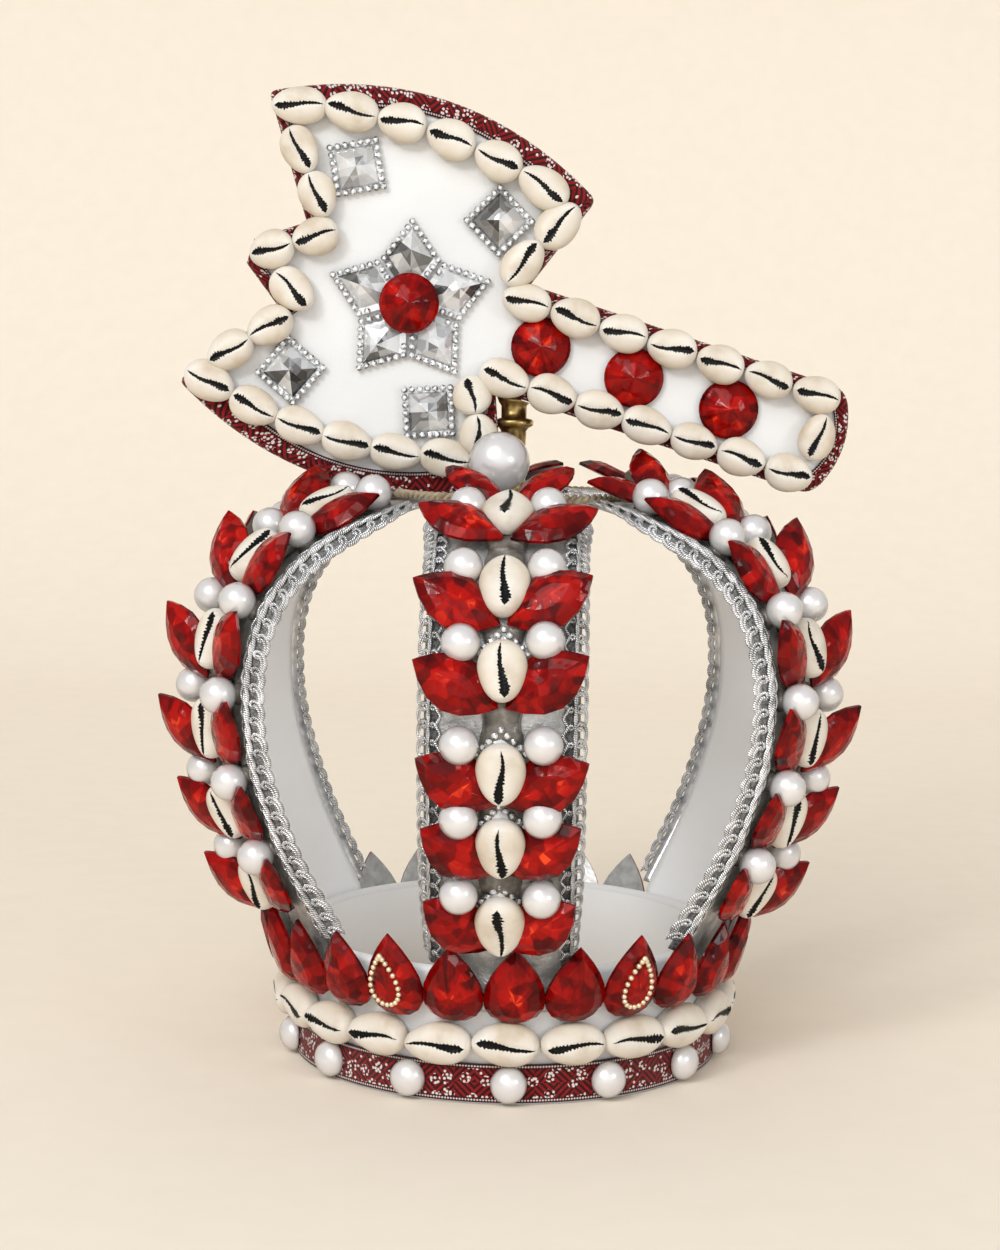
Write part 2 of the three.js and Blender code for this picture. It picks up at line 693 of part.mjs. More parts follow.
// The outline moved inward by its own inset on each side, with the bowed sides as arcs of points. A corner
// that is cut keeps its place less as the outline moves inward.
function axeOutline(insetOf) {
  const lines = axeSides.map((side, index) => {
    const start = new THREE.Vector2(...side.from);
    const end = new THREE.Vector2(...axeSides[(index + 1) % axeSides.length].from);
    const direction = end.clone().sub(start).normalize();
    const inward = new THREE.Vector2(direction.y, -direction.x);
    return { origin: start.addScaledVector(inward, insetOf(side)), direction, outward: inward.negate() };
  });
  const corners = lines.map((line, index) => {
    const before = lines[(index + lines.length - 1) % lines.length];
    const between = line.origin.clone().sub(before.origin);
    const reach = between.cross(line.direction) / before.direction.cross(line.direction);
    return before.origin.clone().addScaledVector(before.direction, reach);
  });
  const cornerCuts = axeSides.map((side, index) => {
    const before = axeSides[(index + axeSides.length - 1) % axeSides.length];
    return Math.max(side.corner - cornerShrink * Math.max(insetOf(side), insetOf(before)), 0);
  });
  return axeSides.flatMap((side, index) => {
    const after = (index + 1) % corners.length;
    const [start, end] = [corners[index], corners[after]];
    const length = start.distanceTo(end);
    const firstShare = cornerCuts[index] / length;
    const lastShare = 1 - cornerCuts[after] / length;
    const steps = side.bow === 0 ? 1 : edgeSteps;
    const count = steps + (cornerCuts[after] > 0 ? 1 : 0);
    return Array.from({ length: count }, (_, step) => {
      const share = THREE.MathUtils.lerp(firstShare, lastShare, step / steps);
      const rise = side.bow * 4 * share * (1 - share);
      return start.clone().lerp(end, share).addScaledVector(lines[index].outward, rise);
    });
  });
}

function axePlate(insetOf, bottom, top) {
  const plate = new THREE.ExtrudeGeometry(new THREE.Shape(axeOutline(insetOf)), {
    depth: top - bottom,
    bevelEnabled: false,
  });
  return plate.translate(0, 0, bottom);
}

const boardFace = boardThickness * halfShare;
const coverUnder = boardFace + seatGap;
const coverOver = coverUnder + axeCoverThickness;
const lipUnder = coverOver + seatGap;
const lipOver = lipUnder + axeRibbonThickness;
const boardInset = () => axeRibbonThickness + seatGap;
const axeRibbon = cut(axePlate(() => 0, -lipOver, lipOver), [
  axePlate(() => axeRibbonThickness, -lipUnder, lipUnder),
  axePlate(() => ribbonLip, -lipOver - cutOverrun, lipOver + cutOverrun),
]);

// The axe stands on the post: its place follows from the point of the handle's edge over the post
const axe = new THREE.Group();
const standing = new THREE.Matrix4().makeRotationX(quarterTurn);
const tilt = new THREE.Matrix4().makeRotationY(radians(axeTilt)).multiply(standing);
const holdPoint = new THREE.Vector3(axeHoldAlong, -neckHalfWidth, 0).applyMatrix4(tilt);
axe.position.set(-holdPoint.x, 0, postTop - postCupDepth - holdPoint.z);
axe.quaternion.setFromRotationMatrix(tilt);
crown.add(axe);

const toAxe = tilt.clone().setPosition(axe.position).invert();
const rodBottom = nutBottom - rodBelowNut;
const rodTop = postTop + rodInAxe;
const upright = (radius, bottom, top, sides) => (
  new THREE.CylinderGeometry(radius, radius, top - bottom, sides))
  .rotateX(quarterTurn)
  .translate(0, 0, (bottom + top) * halfShare);
const rodSides = 12;
const hexSides = 6;
const nutBody = upright(nutAcrossCorners * halfShare, nutBottom, nutTop, hexSides);
const nutBore = upright(boreRadius, nutBottom - cutOverrun, nutTop + cutOverrun, rodSides);
addPiece(crown, 'post_nut', cut(nutBody, [nutBore]), 'brass');
const rodHole = upright(boreRadius, rodBottom, rodTop + seatGap, rodSides).applyMatrix4(toAxe);
addPiece(crown, 'post_rod', upright(rodRadius, rodBottom, rodTop, rodSides), 'brass');

// The cup of the post is cut to the slope of the handle that it carries
const fromAxe = toAxe.clone().invert();
const cupCutter = axePlate(() => -seatGap, -boardThickness, boardThickness).applyMatrix4(fromAxe);
addPiece(crown, 'post', cut(postBody, [cupCutter]), 'brass');
addPiece(axe, 'axe_board', cut(axePlate(boardInset, -boardFace, boardFace), [rodHole]), 'board');
addPiece(axe, 'axe_cover_front', axePlate(boardInset, coverUnder, coverOver), 'cloth');
addPiece(axe, 'axe_cover_back', axePlate(boardInset, -coverOver, -coverUnder), 'cloth');
addPiece(axe, 'axe_ribbon', cut(axeRibbon, [rodHole]), 'ribbon');

// A border of cowries end to end along the inset outline
const borderPath = new THREE.CurvePath();
const borderPoints = axeOutline((side) => side.inset);
borderPoints.forEach((point, index) => {
  borderPath.add(new THREE.LineCurve(point, borderPoints[(index + 1) % borderPoints.length]));
});
const cowriePitch = borderPath.getLength() / axeCowrieCount;
const axeCowrie = cowrie(cowriePitch + glueDepth * 2, axeCowrieWidth, axeCowrieRelief);
const border = Array.from({ length: axeCowrieCount }, (_, step) => {
  const [start, end] = [step, step + 1].map((place) => borderPath.getPoint(place / axeCowrieCount));
  const middle = start.clone().lerp(end, halfShare);
  return axeCowrie.clone().rotateZ(end.sub(start).angle()).translate(middle.x, middle.y, lipOver + seatGap);
});

// Round red stones on the handle and at the centre of the star
const stoneSeat = coverOver + seatGap;
const roundRadius = roundStoneDiameter * halfShare;
const roundStone = turned([
  [0, 0],
  [roundRadius, 0],
  [roundRadius, roundStoneHeight * roundStoneGirdleShare],
  [0, roundStoneHeight],
], roundStoneSides);
const rimRadius = roundRadius + seatGap;
const rimCutter = turned([
  [0, -cutOverrun],
  [rimRadius, -cutOverrun],
  [rimRadius, roundStoneHeight * roundStoneGirdleShare + seatGap],
  [0, roundStoneHeight + seatGap],
], roundStoneSides);
const rimCutters = [];
handleStonePlaces.forEach((along, index) => {
  const place = roundStone.clone().translate(along, 0, stoneSeat);
  rimCutters.push(rimCutter.clone().translate(along, 0, stoneSeat));
  addPiece(axe, `handle_stone_${index + 1}`, place, 'red_stone');
});
// The cowries beside the handle stones lie over the stones' rims
addPiece(axe, 'axe_cowries', cut(joined(border), rimCutters), 'shell');

// The star: five kite stones side by side, each with its high point toward the centre
const starArms = 5;
const kiteHalfAngle = Math.PI / starArms;
const armShoulder = new THREE.Vector2(starInnerRadius, 0).rotateAround(new THREE.Vector2(), kiteHalfAngle);
const arm = new ConvexGeometry([
  new THREE.Vector3(-glueDepth, 0, 0),
  new THREE.Vector3(armShoulder.x, armShoulder.y + glueDepth, 0),
  new THREE.Vector3(starRadius, 0, 0),
  new THREE.Vector3(armShoulder.x, -armShoulder.y - glueDepth, 0),
  new THREE.Vector3(starInnerRadius, 0, starArmHeight),
]);
const star = joined(ringOf(starArms, (turn) => arm.clone().rotateZ(radians(starTurn + turn))));
addPiece(axe, 'axe_star', star.translate(0, 0, stoneSeat), 'clear_stone');

// The centre stone rests on the arms' ridges, which rise outward under its rim
const ridgeHeight = starArmHeight * (roundRadius + glueDepth) / (starInnerRadius + glueDepth);
const starCentreSeat = stoneSeat + ridgeHeight + seatGap;
addPiece(axe, 'star_centre_stone', roundStone.clone().translate(0, 0, starCentreSeat), 'red_stone');

// Square mirror stones, each a pyramid inside a border of small stones
const squareCorner = squareStoneSide * Math.SQRT1_2;
const squareInner = squareCorner - squareBorderWidth * Math.SQRT2;
const squareStone = turned([
  [0, 0],
  [squareCorner, 0],
  [squareCorner, squareBorderHeight],
  [squareInner, squareBorderHeight],
  [0, squareStoneHeight],
], squareSides);
squareStonePlaces.forEach(({ along, across, turn }, index) => {
  const place = squareStone.clone().rotateZ(radians(turn)).translate(along, across, stoneSeat);
  addPiece(axe, `axe_mirror_${index + 1}`, place, 'clear_stone');
});

// The large pearl at the head of the front arch
const pearlRadius = topPearlDiameter * halfShare;
const topPearlSides = 12;
const topPearl = new THREE.SphereGeometry(pearlRadius, topPearlSides, topPearlSides * halfShare)
  .translate(-topPearlAside, 0, 0);
const topPearlSpot = archFrame(pathLength - tabLength - topPearlAlong, braidOver + seatGap + pearlRadius);
const pearlArch = new THREE.Group();
pearlArch.rotation.z = radians(archAzimuths.front);
addPiece(pearlArch, 'top_pearl', topPearl.applyMatrix4(topPearlSpot), 'pearl');
crown.add(pearlArch);

export default crown;
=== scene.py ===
import math

import bpy
import numpy as np
from mathutils import Matrix, Vector


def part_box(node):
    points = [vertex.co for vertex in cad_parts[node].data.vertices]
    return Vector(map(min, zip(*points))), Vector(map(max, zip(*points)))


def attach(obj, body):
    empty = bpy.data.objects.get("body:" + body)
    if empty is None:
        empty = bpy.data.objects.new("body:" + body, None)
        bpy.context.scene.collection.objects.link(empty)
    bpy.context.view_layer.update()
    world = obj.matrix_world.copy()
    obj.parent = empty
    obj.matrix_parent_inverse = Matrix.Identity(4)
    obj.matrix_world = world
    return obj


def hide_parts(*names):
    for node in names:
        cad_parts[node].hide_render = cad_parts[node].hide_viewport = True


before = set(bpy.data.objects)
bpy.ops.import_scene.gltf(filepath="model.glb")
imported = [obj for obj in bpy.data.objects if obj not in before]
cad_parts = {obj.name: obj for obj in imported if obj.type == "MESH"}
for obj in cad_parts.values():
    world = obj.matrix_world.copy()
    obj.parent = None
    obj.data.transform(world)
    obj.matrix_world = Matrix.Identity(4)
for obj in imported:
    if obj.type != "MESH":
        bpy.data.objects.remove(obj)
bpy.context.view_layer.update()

# Camera: a long lens a little above the band, pitched down at the arches, and turned by under a degree as the
# photograph is. The places are in metres in the crown's own frame.
camera_place = (-0.00367, -0.7817, 0.2254)
camera_pitch = 84.17
camera_roll = 0.85
camera_lens = 66.2
long_side = 36.0
camera = bpy.data.objects.new("camera", bpy.data.cameras.new("camera"))
camera.data.lens = camera_lens
camera.data.sensor_width = long_side
pitched = Matrix.Rotation(math.radians(camera_pitch), 4, "X")
rolled = Matrix.Rotation(math.radians(camera_roll), 4, "Z")
camera.matrix_world = Matrix.Translation(camera_place) @ pitched @ rolled
bpy.context.scene.collection.objects.link(camera)
bpy.context.scene.camera = camera


# Studio light: a wide even light from the upper left of the camera, a weak low one from the front, two small
# softboxes whose images show in the stones and pearls, and an even pale surround. Whites stay white in the
# plain view transform.
def add_light(name, kind, place, aim, width, power):
    """A lamp of one kind at place, facing aim. Its width is metres for a softbox and degrees for the sun."""
    lamp = bpy.data.lights.new(name, kind)
    lamp.energy = power
    if kind == "SUN":
        lamp.angle = math.radians(width)
    else:
        lamp.size = width
    light = bpy.data.objects.new(name, lamp)
    light.location = place
    light.rotation_euler = (Vector(aim) - Vector(place)).to_track_quat("-Z", "Y").to_euler()
    bpy.context.scene.collection.objects.link(light)


crown_middle = (0.0, 0.0, 0.16)
add_light("wide_light", "SUN", (-0.5, -1.1, 1.15), crown_middle, 40, 1.05)
add_light("front_light", "SUN", (0.15, -1.2, 0.36), crown_middle, 60, 0.55)
add_light("left_softbox", "AREA", (-0.55, -0.9, 0.75), crown_middle, 0.22, 3.0)
add_light("right_softbox", "AREA", (0.75, -0.75, 0.4), crown_middle, 0.22, 1.3)
surround = bpy.data.worlds.new("surround")
surround.use_nodes = True
surround.node_tree.nodes["Background"].inputs["Color"].default_value = (0.96, 0.98, 1.0, 1.0)
surround.node_tree.nodes["Background"].inputs["Strength"].default_value = 0.5
bpy.context.scene.world = surround
bpy.context.scene.view_settings.view_transform = "Standard"


# Paper sweep: a plain cream floor that curves up into the background behind the crown. It belongs to the
# studio and isn't part of the crown. The helpers here make every mesh and every finish in this file.
MM = 0.001


def add_node(tree, kind, inputs=None, **settings):
    """A node of one kind with its settings. An input is a number, a colour or another node's output."""
    node = tree.nodes.new(kind)
    for name, value in settings.items():
        setattr(node, name, value)
    for socket, value in (inputs or {}).items():
        if isinstance(value, bpy.types.NodeSocket):
            tree.links.new(value, node.inputs[socket])
        else:
            node.inputs[socket].default_value = value
    return node


def reckon(tree, operation, *terms):
    """The output of one arithmetic step on numbers or other outputs."""
    return add_node(tree, "ShaderNodeMath", dict(enumerate(terms)), operation=operation).outputs[0]


def ramp(tree, factor, stops):
    """Colours by factor. Each stop is (place, colour)."""
    node = add_node(tree, "ShaderNodeValToRGB", {"Fac": factor})
    elements = node.color_ramp.elements
    while len(elements) < len(stops):
        elements.new(0.5)
    for element, (place, colour) in zip(elements, stops):
        element.position = place
        element.color = (*colour, 1.0)
    return node.outputs["Color"]


def mixed(tree, factor, first, second, blend="MIX"):
    """First where factor is 0 and second where it is 1, or another blend of the two."""
    node = add_node(tree, "ShaderNodeMix", {"Factor": factor}, data_type="RGBA", blend_type=blend)
    for socket, value in ((6, first), (7, second)):
        if isinstance(value, bpy.types.NodeSocket):
            tree.links.new(value, node.inputs[socket])
        else:
            node.inputs[socket].default_value = (*value, 1.0)
    return node.outputs[2]


def new_finish(name, values):
    """A material whose shader has the given values, with its node tree and its shader."""
    finish = bpy.data.materials.new(name)
    finish.use_nodes = True
    tree = finish.node_tree
    shader = tree.nodes["Principled BSDF"]
    for socket, value in values.items():
        shader.inputs[socket].default_value = value
    return finish, tree, shader


def dress(tree, shader, colour, height=0.0, depth=0.0):
    """Gives the shader its colour, and bumps its surface by height, with depth in metres for a height of 1.
    Without a depth it stays smooth."""
    tree.links.new(colour, shader.inputs["Base Color"])
    if depth:
        bump = add_node(tree, "ShaderNodeBump", {"Strength": 1.0, "Distance": depth, "Height": height})
        tree.links.new(bump.outputs["Normal"], shader.inputs["Normal"])


def object_noise(tree, scale, detail=3.0, roughness=0.5):
    """Cloudy noise from 0 to 1 in the object's own metres."""
    place = add_node(tree, "ShaderNodeTexCoord").outputs["Object"]
    inputs = {"Vector": place, "Scale": scale, "Detail": detail, "Roughness": roughness}
    return add_node(tree, "ShaderNodeTexNoise", inputs).outputs["Fac"]


def uv_places(tree):
    """The mesh's UV and its two parts."""
    uv = add_node(tree, "ShaderNodeUVMap", uv_map="UVMap").outputs["UV"]
    parts = add_node(tree, "ShaderNodeSeparateXYZ", {"Vector": uv})
    return uv, parts.outputs["X"], parts.outputs["Y"]


def cloudy_finish(name, values, noise, stops, reliefs=(), depth=0.0):
    """A material coloured by one object noise. Each relief is (share, noise), and their sum bumps the
    surface, with depth in metres for a sum of 1."""
    finish, tree, shader = new_finish(name, values)
    height = 0.0
    for share, relief in reliefs:
        height = reckon(tree, "MULTIPLY_ADD", object_noise(tree, *relief), share, height)
    dress(tree, shader, ramp(tree, object_noise(tree, *noise), stops), height, depth)
    return finish


def weld(points, faces, uv, finish, shade, smooth):
    """A shell with one point at each place. A four-cornered face with two corners at one place becomes a
    triangle, marked by -1 as its last corner, and one with fewer than three places is dropped."""
    places, number = np.unique(np.round(points, 4), axis=0, return_inverse=True)
    faces = np.where(faces >= 0, number.reshape(-1)[faces], -1)
    for corner in range(4):
        after = (corner + 1) % 4
        doubled = (faces[:, corner] == faces[:, after]) & (faces[:, 3] >= 0)
        kept = [place for place in range(4) if place != after]
        faces[doubled, :3] = faces[doubled][:, kept]
        uv[doubled, :3] = uv[doubled][:, kept]
        shade[doubled, :3] = shade[doubled][:, kept]
        faces[doubled, 3] = -1
    flat = (faces[:, 0] == faces[:, 1]) | (faces[:, 1] == faces[:, 2]) | (faces[:, 2] == faces[:, 0])
    keep = ~flat
    return {"points": places, "faces": faces[keep], "uv": uv[keep], "finish": finish[keep],
            "shade": shade[keep], "smooth": smooth[keep]}


def surface(points, uv=None, finish=0, shade=0.0, smooth=True):
    """A shell of quads over a grid of points (rows, columns, 3), whose outside is columns cross rows. uv is a
    grid too, and finish, shade and smooth are one value or a value for each quad."""
    rows, columns = points.shape[:2]
    number = np.arange(rows * columns).reshape(rows, columns)
    corners = (number[:-1, :-1], number[:-1, 1:], number[1:, 1:], number[1:, :-1])
    quads = np.stack(corners, axis=-1).reshape(-1, 4)
    each = (rows - 1, columns - 1)
    grid_uv = np.zeros((rows, columns, 2)) if uv is None else uv
    corner_shade = np.repeat(np.broadcast_to(shade, each).reshape(-1, 1), 4, axis=1).astype(float)
    return weld(
        points.reshape(-1, 3).astype(float),
        quads,
        grid_uv.reshape(-1, 2)[quads],
        np.broadcast_to(finish, each).reshape(-1).copy(),
        corner_shade,
        np.broadcast_to(smooth, each).reshape(-1).copy(),
    )


def joined(*parts):
    """Arrays, made one shape, side by side on a new last axis."""
    return np.stack(np.broadcast_arrays(*parts), axis=-1)


def full_turn(steps):
    """Angles once round, whose last is 0 again so that the seam closes."""
    angle = np.linspace(0, 2 * np.pi, steps + 1)
    angle[-1] = 0
    return angle


def turned(profile, steps, finish=0, smooth=True, uv=None):
    """A profile of (radius, height) rows turned once round Z, with its outside on the right of its way."""
    profile = np.asarray(profile, float)
    angle = full_turn(steps)
    radius = profile[:, :1]
    heights = np.repeat(profile[:, 1:], steps + 1, axis=1)
    points = joined(radius * np.cos(angle), radius * np.sin(angle), heights)
    return surface(points, uv, finish, 0, smooth)


def fused(shells):
    """Several shells as one."""
    starts = np.cumsum([0] + [len(shell["points"]) for shell in shells[:-1]])
    whole = {key: np.concatenate([shell[key] for shell in shells]) for key in shells[0] if key != "faces"}
    whole["faces"] = np.concatenate([
        np.where(shell["faces"] >= 0, shell["faces"] + start, -1) for shell, start in zip(shells, starts)
    ])
    return whole


def moved(shell, *steps):
    """The shell after each 4 x 4 step in turn."""
    points = shell["points"]
    for step in steps:
        points = points @ step[:3, :3].T + step[:3, 3]
    return {**shell, "points": points}


def turn(axis, degrees):
    return np.array(Matrix.Rotation(math.radians(degrees), 4, axis))


def shift(x, y, z):
    return np.array(Matrix.Translation((x, y, z)))


def make_object(name, shell, finishes):
    """The shell, worked out in millimetres, as a mesh object in metres at the origin."""
    mesh = bpy.data.meshes.new(name)
    used = shell["faces"] >= 0
    corners = used.sum(axis=1)
    mesh.vertices.add(len(shell["points"]))
    mesh.vertices.foreach_set("co", (shell["points"] * MM).ravel())
    mesh.loops.add(int(corners.sum()))
    mesh.loops.foreach_set("vertex_index", shell["faces"][used].astype(np.int32))
    mesh.polygons.add(len(corners))
    mesh.polygons.foreach_set("loop_start", np.concatenate([[0], np.cumsum(corners)[:-1]]).astype(np.int32))
    for finish in finishes:
        mesh.materials.append(finish)
    mesh.polygons.foreach_set("material_index", shell["finish"].astype(np.int32))
    mesh.polygons.foreach_set("use_smooth", shell["smooth"].astype(bool))
    mesh.uv_layers.new(name="UVMap").data.foreach_set("uv", shell["uv"][used].ravel())
    mesh.attributes.new("shade", "FLOAT", "CORNER").data.foreach_set("value", shell["shade"][used])
    mesh.update(calc_edges=True)
    made = bpy.data.objects.new(name, mesh)
    bpy.context.scene.collection.objects.link(made)
    return made


sweep_width = 6000.0
sweep_front = -2500.0
sweep_bend = 900.0
bend_radius = 700.0
wall_height = 4000.0
bend_angle = np.linspace(0, np.pi / 2, 25)
bend_line = bend_radius * joined(np.sin(bend_angle), 1 - np.cos(bend_angle)) + [sweep_bend, 0]
sweep_line = np.vstack([[sweep_front, 0], bend_line, [sweep_bend + bend_radius, wall_height]])
sweep_sides = np.array([-0.5, 0.5]) * sweep_width
sweep_points = joined(
    np.repeat(sweep_sides[None, :], len(sweep_line), axis=0),
    np.repeat(sweep_line[:, :1], 2, axis=1),
    np.repeat(sweep_line[:, 1:], 2, axis=1),
)
paper = cloudy_finish("cream_paper", {"Roughness": 0.9, "Specular IOR Level": 0.1}, (60.0,), [
    (0.3, (0.9, 0.815, 0.69)),
    (0.7, (0.92, 0.83, 0.71)),
])
make_object("paper_sweep", surface(sweep_points), [paper])


def add_piece(name, shell, finishes, slot_name, *nodes):
    """A piece of the crown, riding on its body, in place of the named CAD nodes."""
    piece = make_object(name, shell, finishes)
    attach(piece, "root")
    if nodes:
        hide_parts(*nodes)
    return piece


def finish_node(node, finish):
    """Gives a CAD node that stays its material."""
    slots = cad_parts[node].material_slots
    for slot in slots:
        slot.material = finish


# Band: a stiff board hoop, wrapped over its rim inside and out with smooth white cloth. The cloth is glued
# down and its edge turns over the top of the hoop in a small round. A white lining covers the inside.
band_radius = 71.6
band_height = 43.0
cover_thickness = 0.9
rim_round = 1.6
seat_gap = 0.3
hoop_thickness = 2.4
cover_inner_wall = band_radius - 2 * cover_thickness - hoop_thickness - 2 * seat_gap
round_angle = np.linspace(0, np.pi / 2, 7)
outer_round = joined(
    band_radius - rim_round + rim_round * np.cos(round_angle),
    band_height - rim_round + rim_round * np.sin(round_angle),
)
inner_round = joined(
    cover_inner_wall + rim_round - rim_round * np.sin(round_angle),
    band_height - rim_round + rim_round * np.cos(round_angle),
)
cover_line = np.vstack([
    [cover_inner_wall + cover_thickness, 0],
    [cover_inner_wall + cover_thickness, band_height - cover_thickness],
    [band_radius - cover_thickness, band_height - cover_thickness],
    [band_radius - cover_thickness, 0],
    [band_radius, 0],
    outer_round,
    inner_round,
    [cover_inner_wall, 0],
    [cover_inner_wall + cover_thickness, 0],
])
cloth = cloudy_finish("white_satin_cloth", {"Roughness": 0.55, "Sheen Weight": 0.3}, (35.0, 4.0), [
    (0.25, (0.83, 0.835, 0.85)),
    (0.75, (0.9, 0.9, 0.905)),
], reliefs=[(1.0, (2600.0, 1.0)), (0.8, (240.0, 2.0))], depth=0.00007)
lining = cloudy_finish("white_lining", {"Roughness": 0.7, "Sheen Weight": 0.2}, (45.0, 4.0), [
    (0.25, (0.93, 0.935, 0.945)),
    (0.75, (0.975, 0.975, 0.98)),
], reliefs=[(1.0, (2400.0, 1.0))], depth=0.00006)
cover_sides = np.zeros((len(cover_line) - 1, 1), int)
cover_sides[-2:] = 1
add_piece("cloth_over_band", turned(cover_line, 180, cover_sides), [cloth, lining], "cloth", "band_cover")

board = cloudy_finish("grey_board", {"Roughness": 0.9}, (500.0, 6.0, 0.7), [
    (0.3, (0.24, 0.17, 0.1)),
    (0.7, (0.42, 0.31, 0.2)),
], reliefs=[(1.0, (1200.0, 4.0))], depth=0.0001)
finish_node("band_hoop", board)

# Band ribbon: a woven ribbon of wine red with bright red bars and small white flowers, glued round the foot
# of the band. Its edges hold a line of pale dots, and the pattern reads the ribbon's own UV in millimetres.
ribbon_bottom = 0.8
ribbon_height = 12.4
ribbon_thickness = 0.8
wine = (0.035, 0.001, 0.002)
satin_red = (0.34, 0.005, 0.007)
dot_white = (0.86, 0.8, 0.77)


def repeat_share(tree, value, pitch):
    """Where value lies in its repeat, from 0 to 1."""
    return reckon(tree, "FRACT", reckon(tree, "DIVIDE", value, pitch))


def woven_ribbon(name, width):
    """A ribbon of one width: bars that lean one way in odd squares and the other way in even ones, groups of
    white dots, and a dotted line inside each edge."""
    bar_square = 6.4
    bar_pitch = 2.3
    bar_share = 0.5
    flower_pitch = 5.4
    flower_reach = 0.33
    dot_pitch = 1.3
    dot_reach = 0.36
    dot_rise = 4.0
    stray_dot_level = 0.92
    edge_dot_pitch = 0.95
    edge_dot_inset = 0.75
    edge_dot_reach = 0.42
    thread_pitch = 0.22
    finish, tree, shader = new_finish(name, {
        "Roughness": 0.45, "Sheen Weight": 0.08, "Specular IOR Level": 0.2,
    })
    uv, along, across = uv_places(tree)
    column = reckon(tree, "FLOOR", reckon(tree, "DIVIDE", along, bar_square))
    row = reckon(tree, "FLOOR", reckon(tree, "DIVIDE", across, bar_square))
    lean = reckon(tree, "MODULO", reckon(tree, "ADD", column, row), 2.0)
    lean_sign = reckon(tree, "MULTIPLY_ADD", lean, 2.0, -1.0)
    diagonal = reckon(tree, "MULTIPLY_ADD", across, lean_sign, along)
    bars = reckon(tree, "LESS_THAN", repeat_share(tree, diagonal, bar_pitch), bar_share)
    flat = add_node(tree, "ShaderNodeTexVoronoi", {
        "Vector": uv, "Scale": 1.0 / dot_pitch, "Randomness": 0.75,
    }, voronoi_dimensions="2D")
    chance = add_node(tree, "ShaderNodeSeparateColor", {"Color": flat.outputs["Color"]}).outputs["Red"]
    flowers = add_node(tree, "ShaderNodeTexVoronoi", {
        "Vector": uv, "Scale": 1.0 / flower_pitch, "Randomness": 0.55,
    }, voronoi_dimensions="2D")
    in_flower = reckon(tree, "LESS_THAN", flowers.outputs["Distance"], flower_reach)
    chosen = reckon(tree, "MAXIMUM", in_flower, reckon(tree, "GREATER_THAN", chance, stray_dot_level))
    small = reckon(tree, "LESS_THAN", flat.outputs["Distance"], dot_reach)
    dots = reckon(tree, "MULTIPLY", chosen, small)
    middle = reckon(tree, "ABSOLUTE", reckon(tree, "SUBTRACT", across, width / 2))
    from_line = reckon(tree, "ABSOLUTE", reckon(tree, "SUBTRACT", middle, width / 2 - edge_dot_inset))
    edge_place = reckon(tree, "SUBTRACT", repeat_share(tree, along, edge_dot_pitch), 0.5)
    edge_share = reckon(tree, "ABSOLUTE", edge_place)
    edge_reach = reckon(tree, "MULTIPLY_ADD", edge_share, edge_dot_pitch, from_line)
    edge_dots = reckon(tree, "LESS_THAN", edge_reach, edge_dot_reach)
    field = reckon(tree, "LESS_THAN", middle, width / 2 - 2 * edge_dot_inset)
    shine = ramp(tree, add_node(tree, "ShaderNodeTexNoise", {"Vector": uv, "Scale": 0.9}).outputs["Fac"], [
        (0.3, (0.18, 0.003, 0.005)),
        (0.6, satin_red),
    ])
    coloured = mixed(tree, reckon(tree, "MULTIPLY", bars, field), wine, shine)
    dotted = mixed(tree, reckon(tree, "MULTIPLY", dots, field), coloured, dot_white)
    warp = reckon(tree, "SINE", reckon(tree, "MULTIPLY", along, 2 * math.pi / thread_pitch))
    weft = reckon(tree, "SINE", reckon(tree, "MULTIPLY", diagonal, 2 * math.pi / (2 * thread_pitch)))
    threads = reckon(tree, "MULTIPLY_ADD", weft, bars, warp)
    proud = reckon(tree, "MULTIPLY_ADD", reckon(tree, "MAXIMUM", dots, edge_dots), dot_rise, threads)
    dress(tree, shader, mixed(tree, edge_dots, dotted, (0.78, 0.62, 0.6)), proud, 0.00004)
    return finish


ribbon_inner_radius = band_radius + seat_gap
ribbon_outer_radius = ribbon_inner_radius + ribbon_thickness
ribbon_line = np.array([
    [ribbon_inner_radius, ribbon_bottom],
    [ribbon_outer_radius, ribbon_bottom],
    [ribbon_outer_radius, ribbon_bottom + ribbon_height],
    [ribbon_inner_radius, ribbon_bottom + ribbon_height],
    [ribbon_inner_radius, ribbon_bottom],
])
ribbon_steps = 240
ribbon_run = np.linspace(0, 2 * np.pi * ribbon_outer_radius, ribbon_steps + 1)
ribbon_uv = joined(ribbon_run, (ribbon_line[:, 1] - ribbon_bottom)[:, None])
band_ribbon = woven_ribbon("wine_ribbon_narrow", ribbon_height)
ribbon_shell = turned(ribbon_line, ribbon_steps, uv=ribbon_uv)
ribbon_shell["smooth"][:] = False
add_piece("ribbon_round_band", ribbon_shell, [band_ribbon], "ribbon", "band_ribbon")

# Band pearls: flat-backed half-round imitation pearls, glued one by one on the ribbon. The plastic has a
# milky coat with a soft second gloss, and the dome stands on a low straight rim.
band_pearl_count = 14
band_pearl_diameter = 11.8
band_pearl_turn = 0.9
pearl_rim_share = 0.08
pearl_back_share = 0.96
pearl_bevel_share = 0.3


def half_pearl(diameter, steps=36):
    """A half ball on a low straight rim, back at z = 0: the profile is a quarter circle over the rim."""
    radius = diameter / 2
    rim = pearl_rim_share * diameter
    angle = np.linspace(0, np.pi / 2, 13)
    dome = joined(radius * np.cos(angle), rim + (radius - rim) * np.sin(angle))
    back = [[0, 0], [pearl_back_share * radius, 0], [radius, pearl_bevel_share * rim]]
    return turned(np.vstack([back, dome]), steps)


def on_band(shell, azimuth, radius, level, lean=0.0):
    """Stands a piece made flat, back at z = 0 and +Y up, on the band's wall."""
    return moved(shell, turn("X", 90 + lean), shift(0, -radius, level), turn("Z", azimuth))


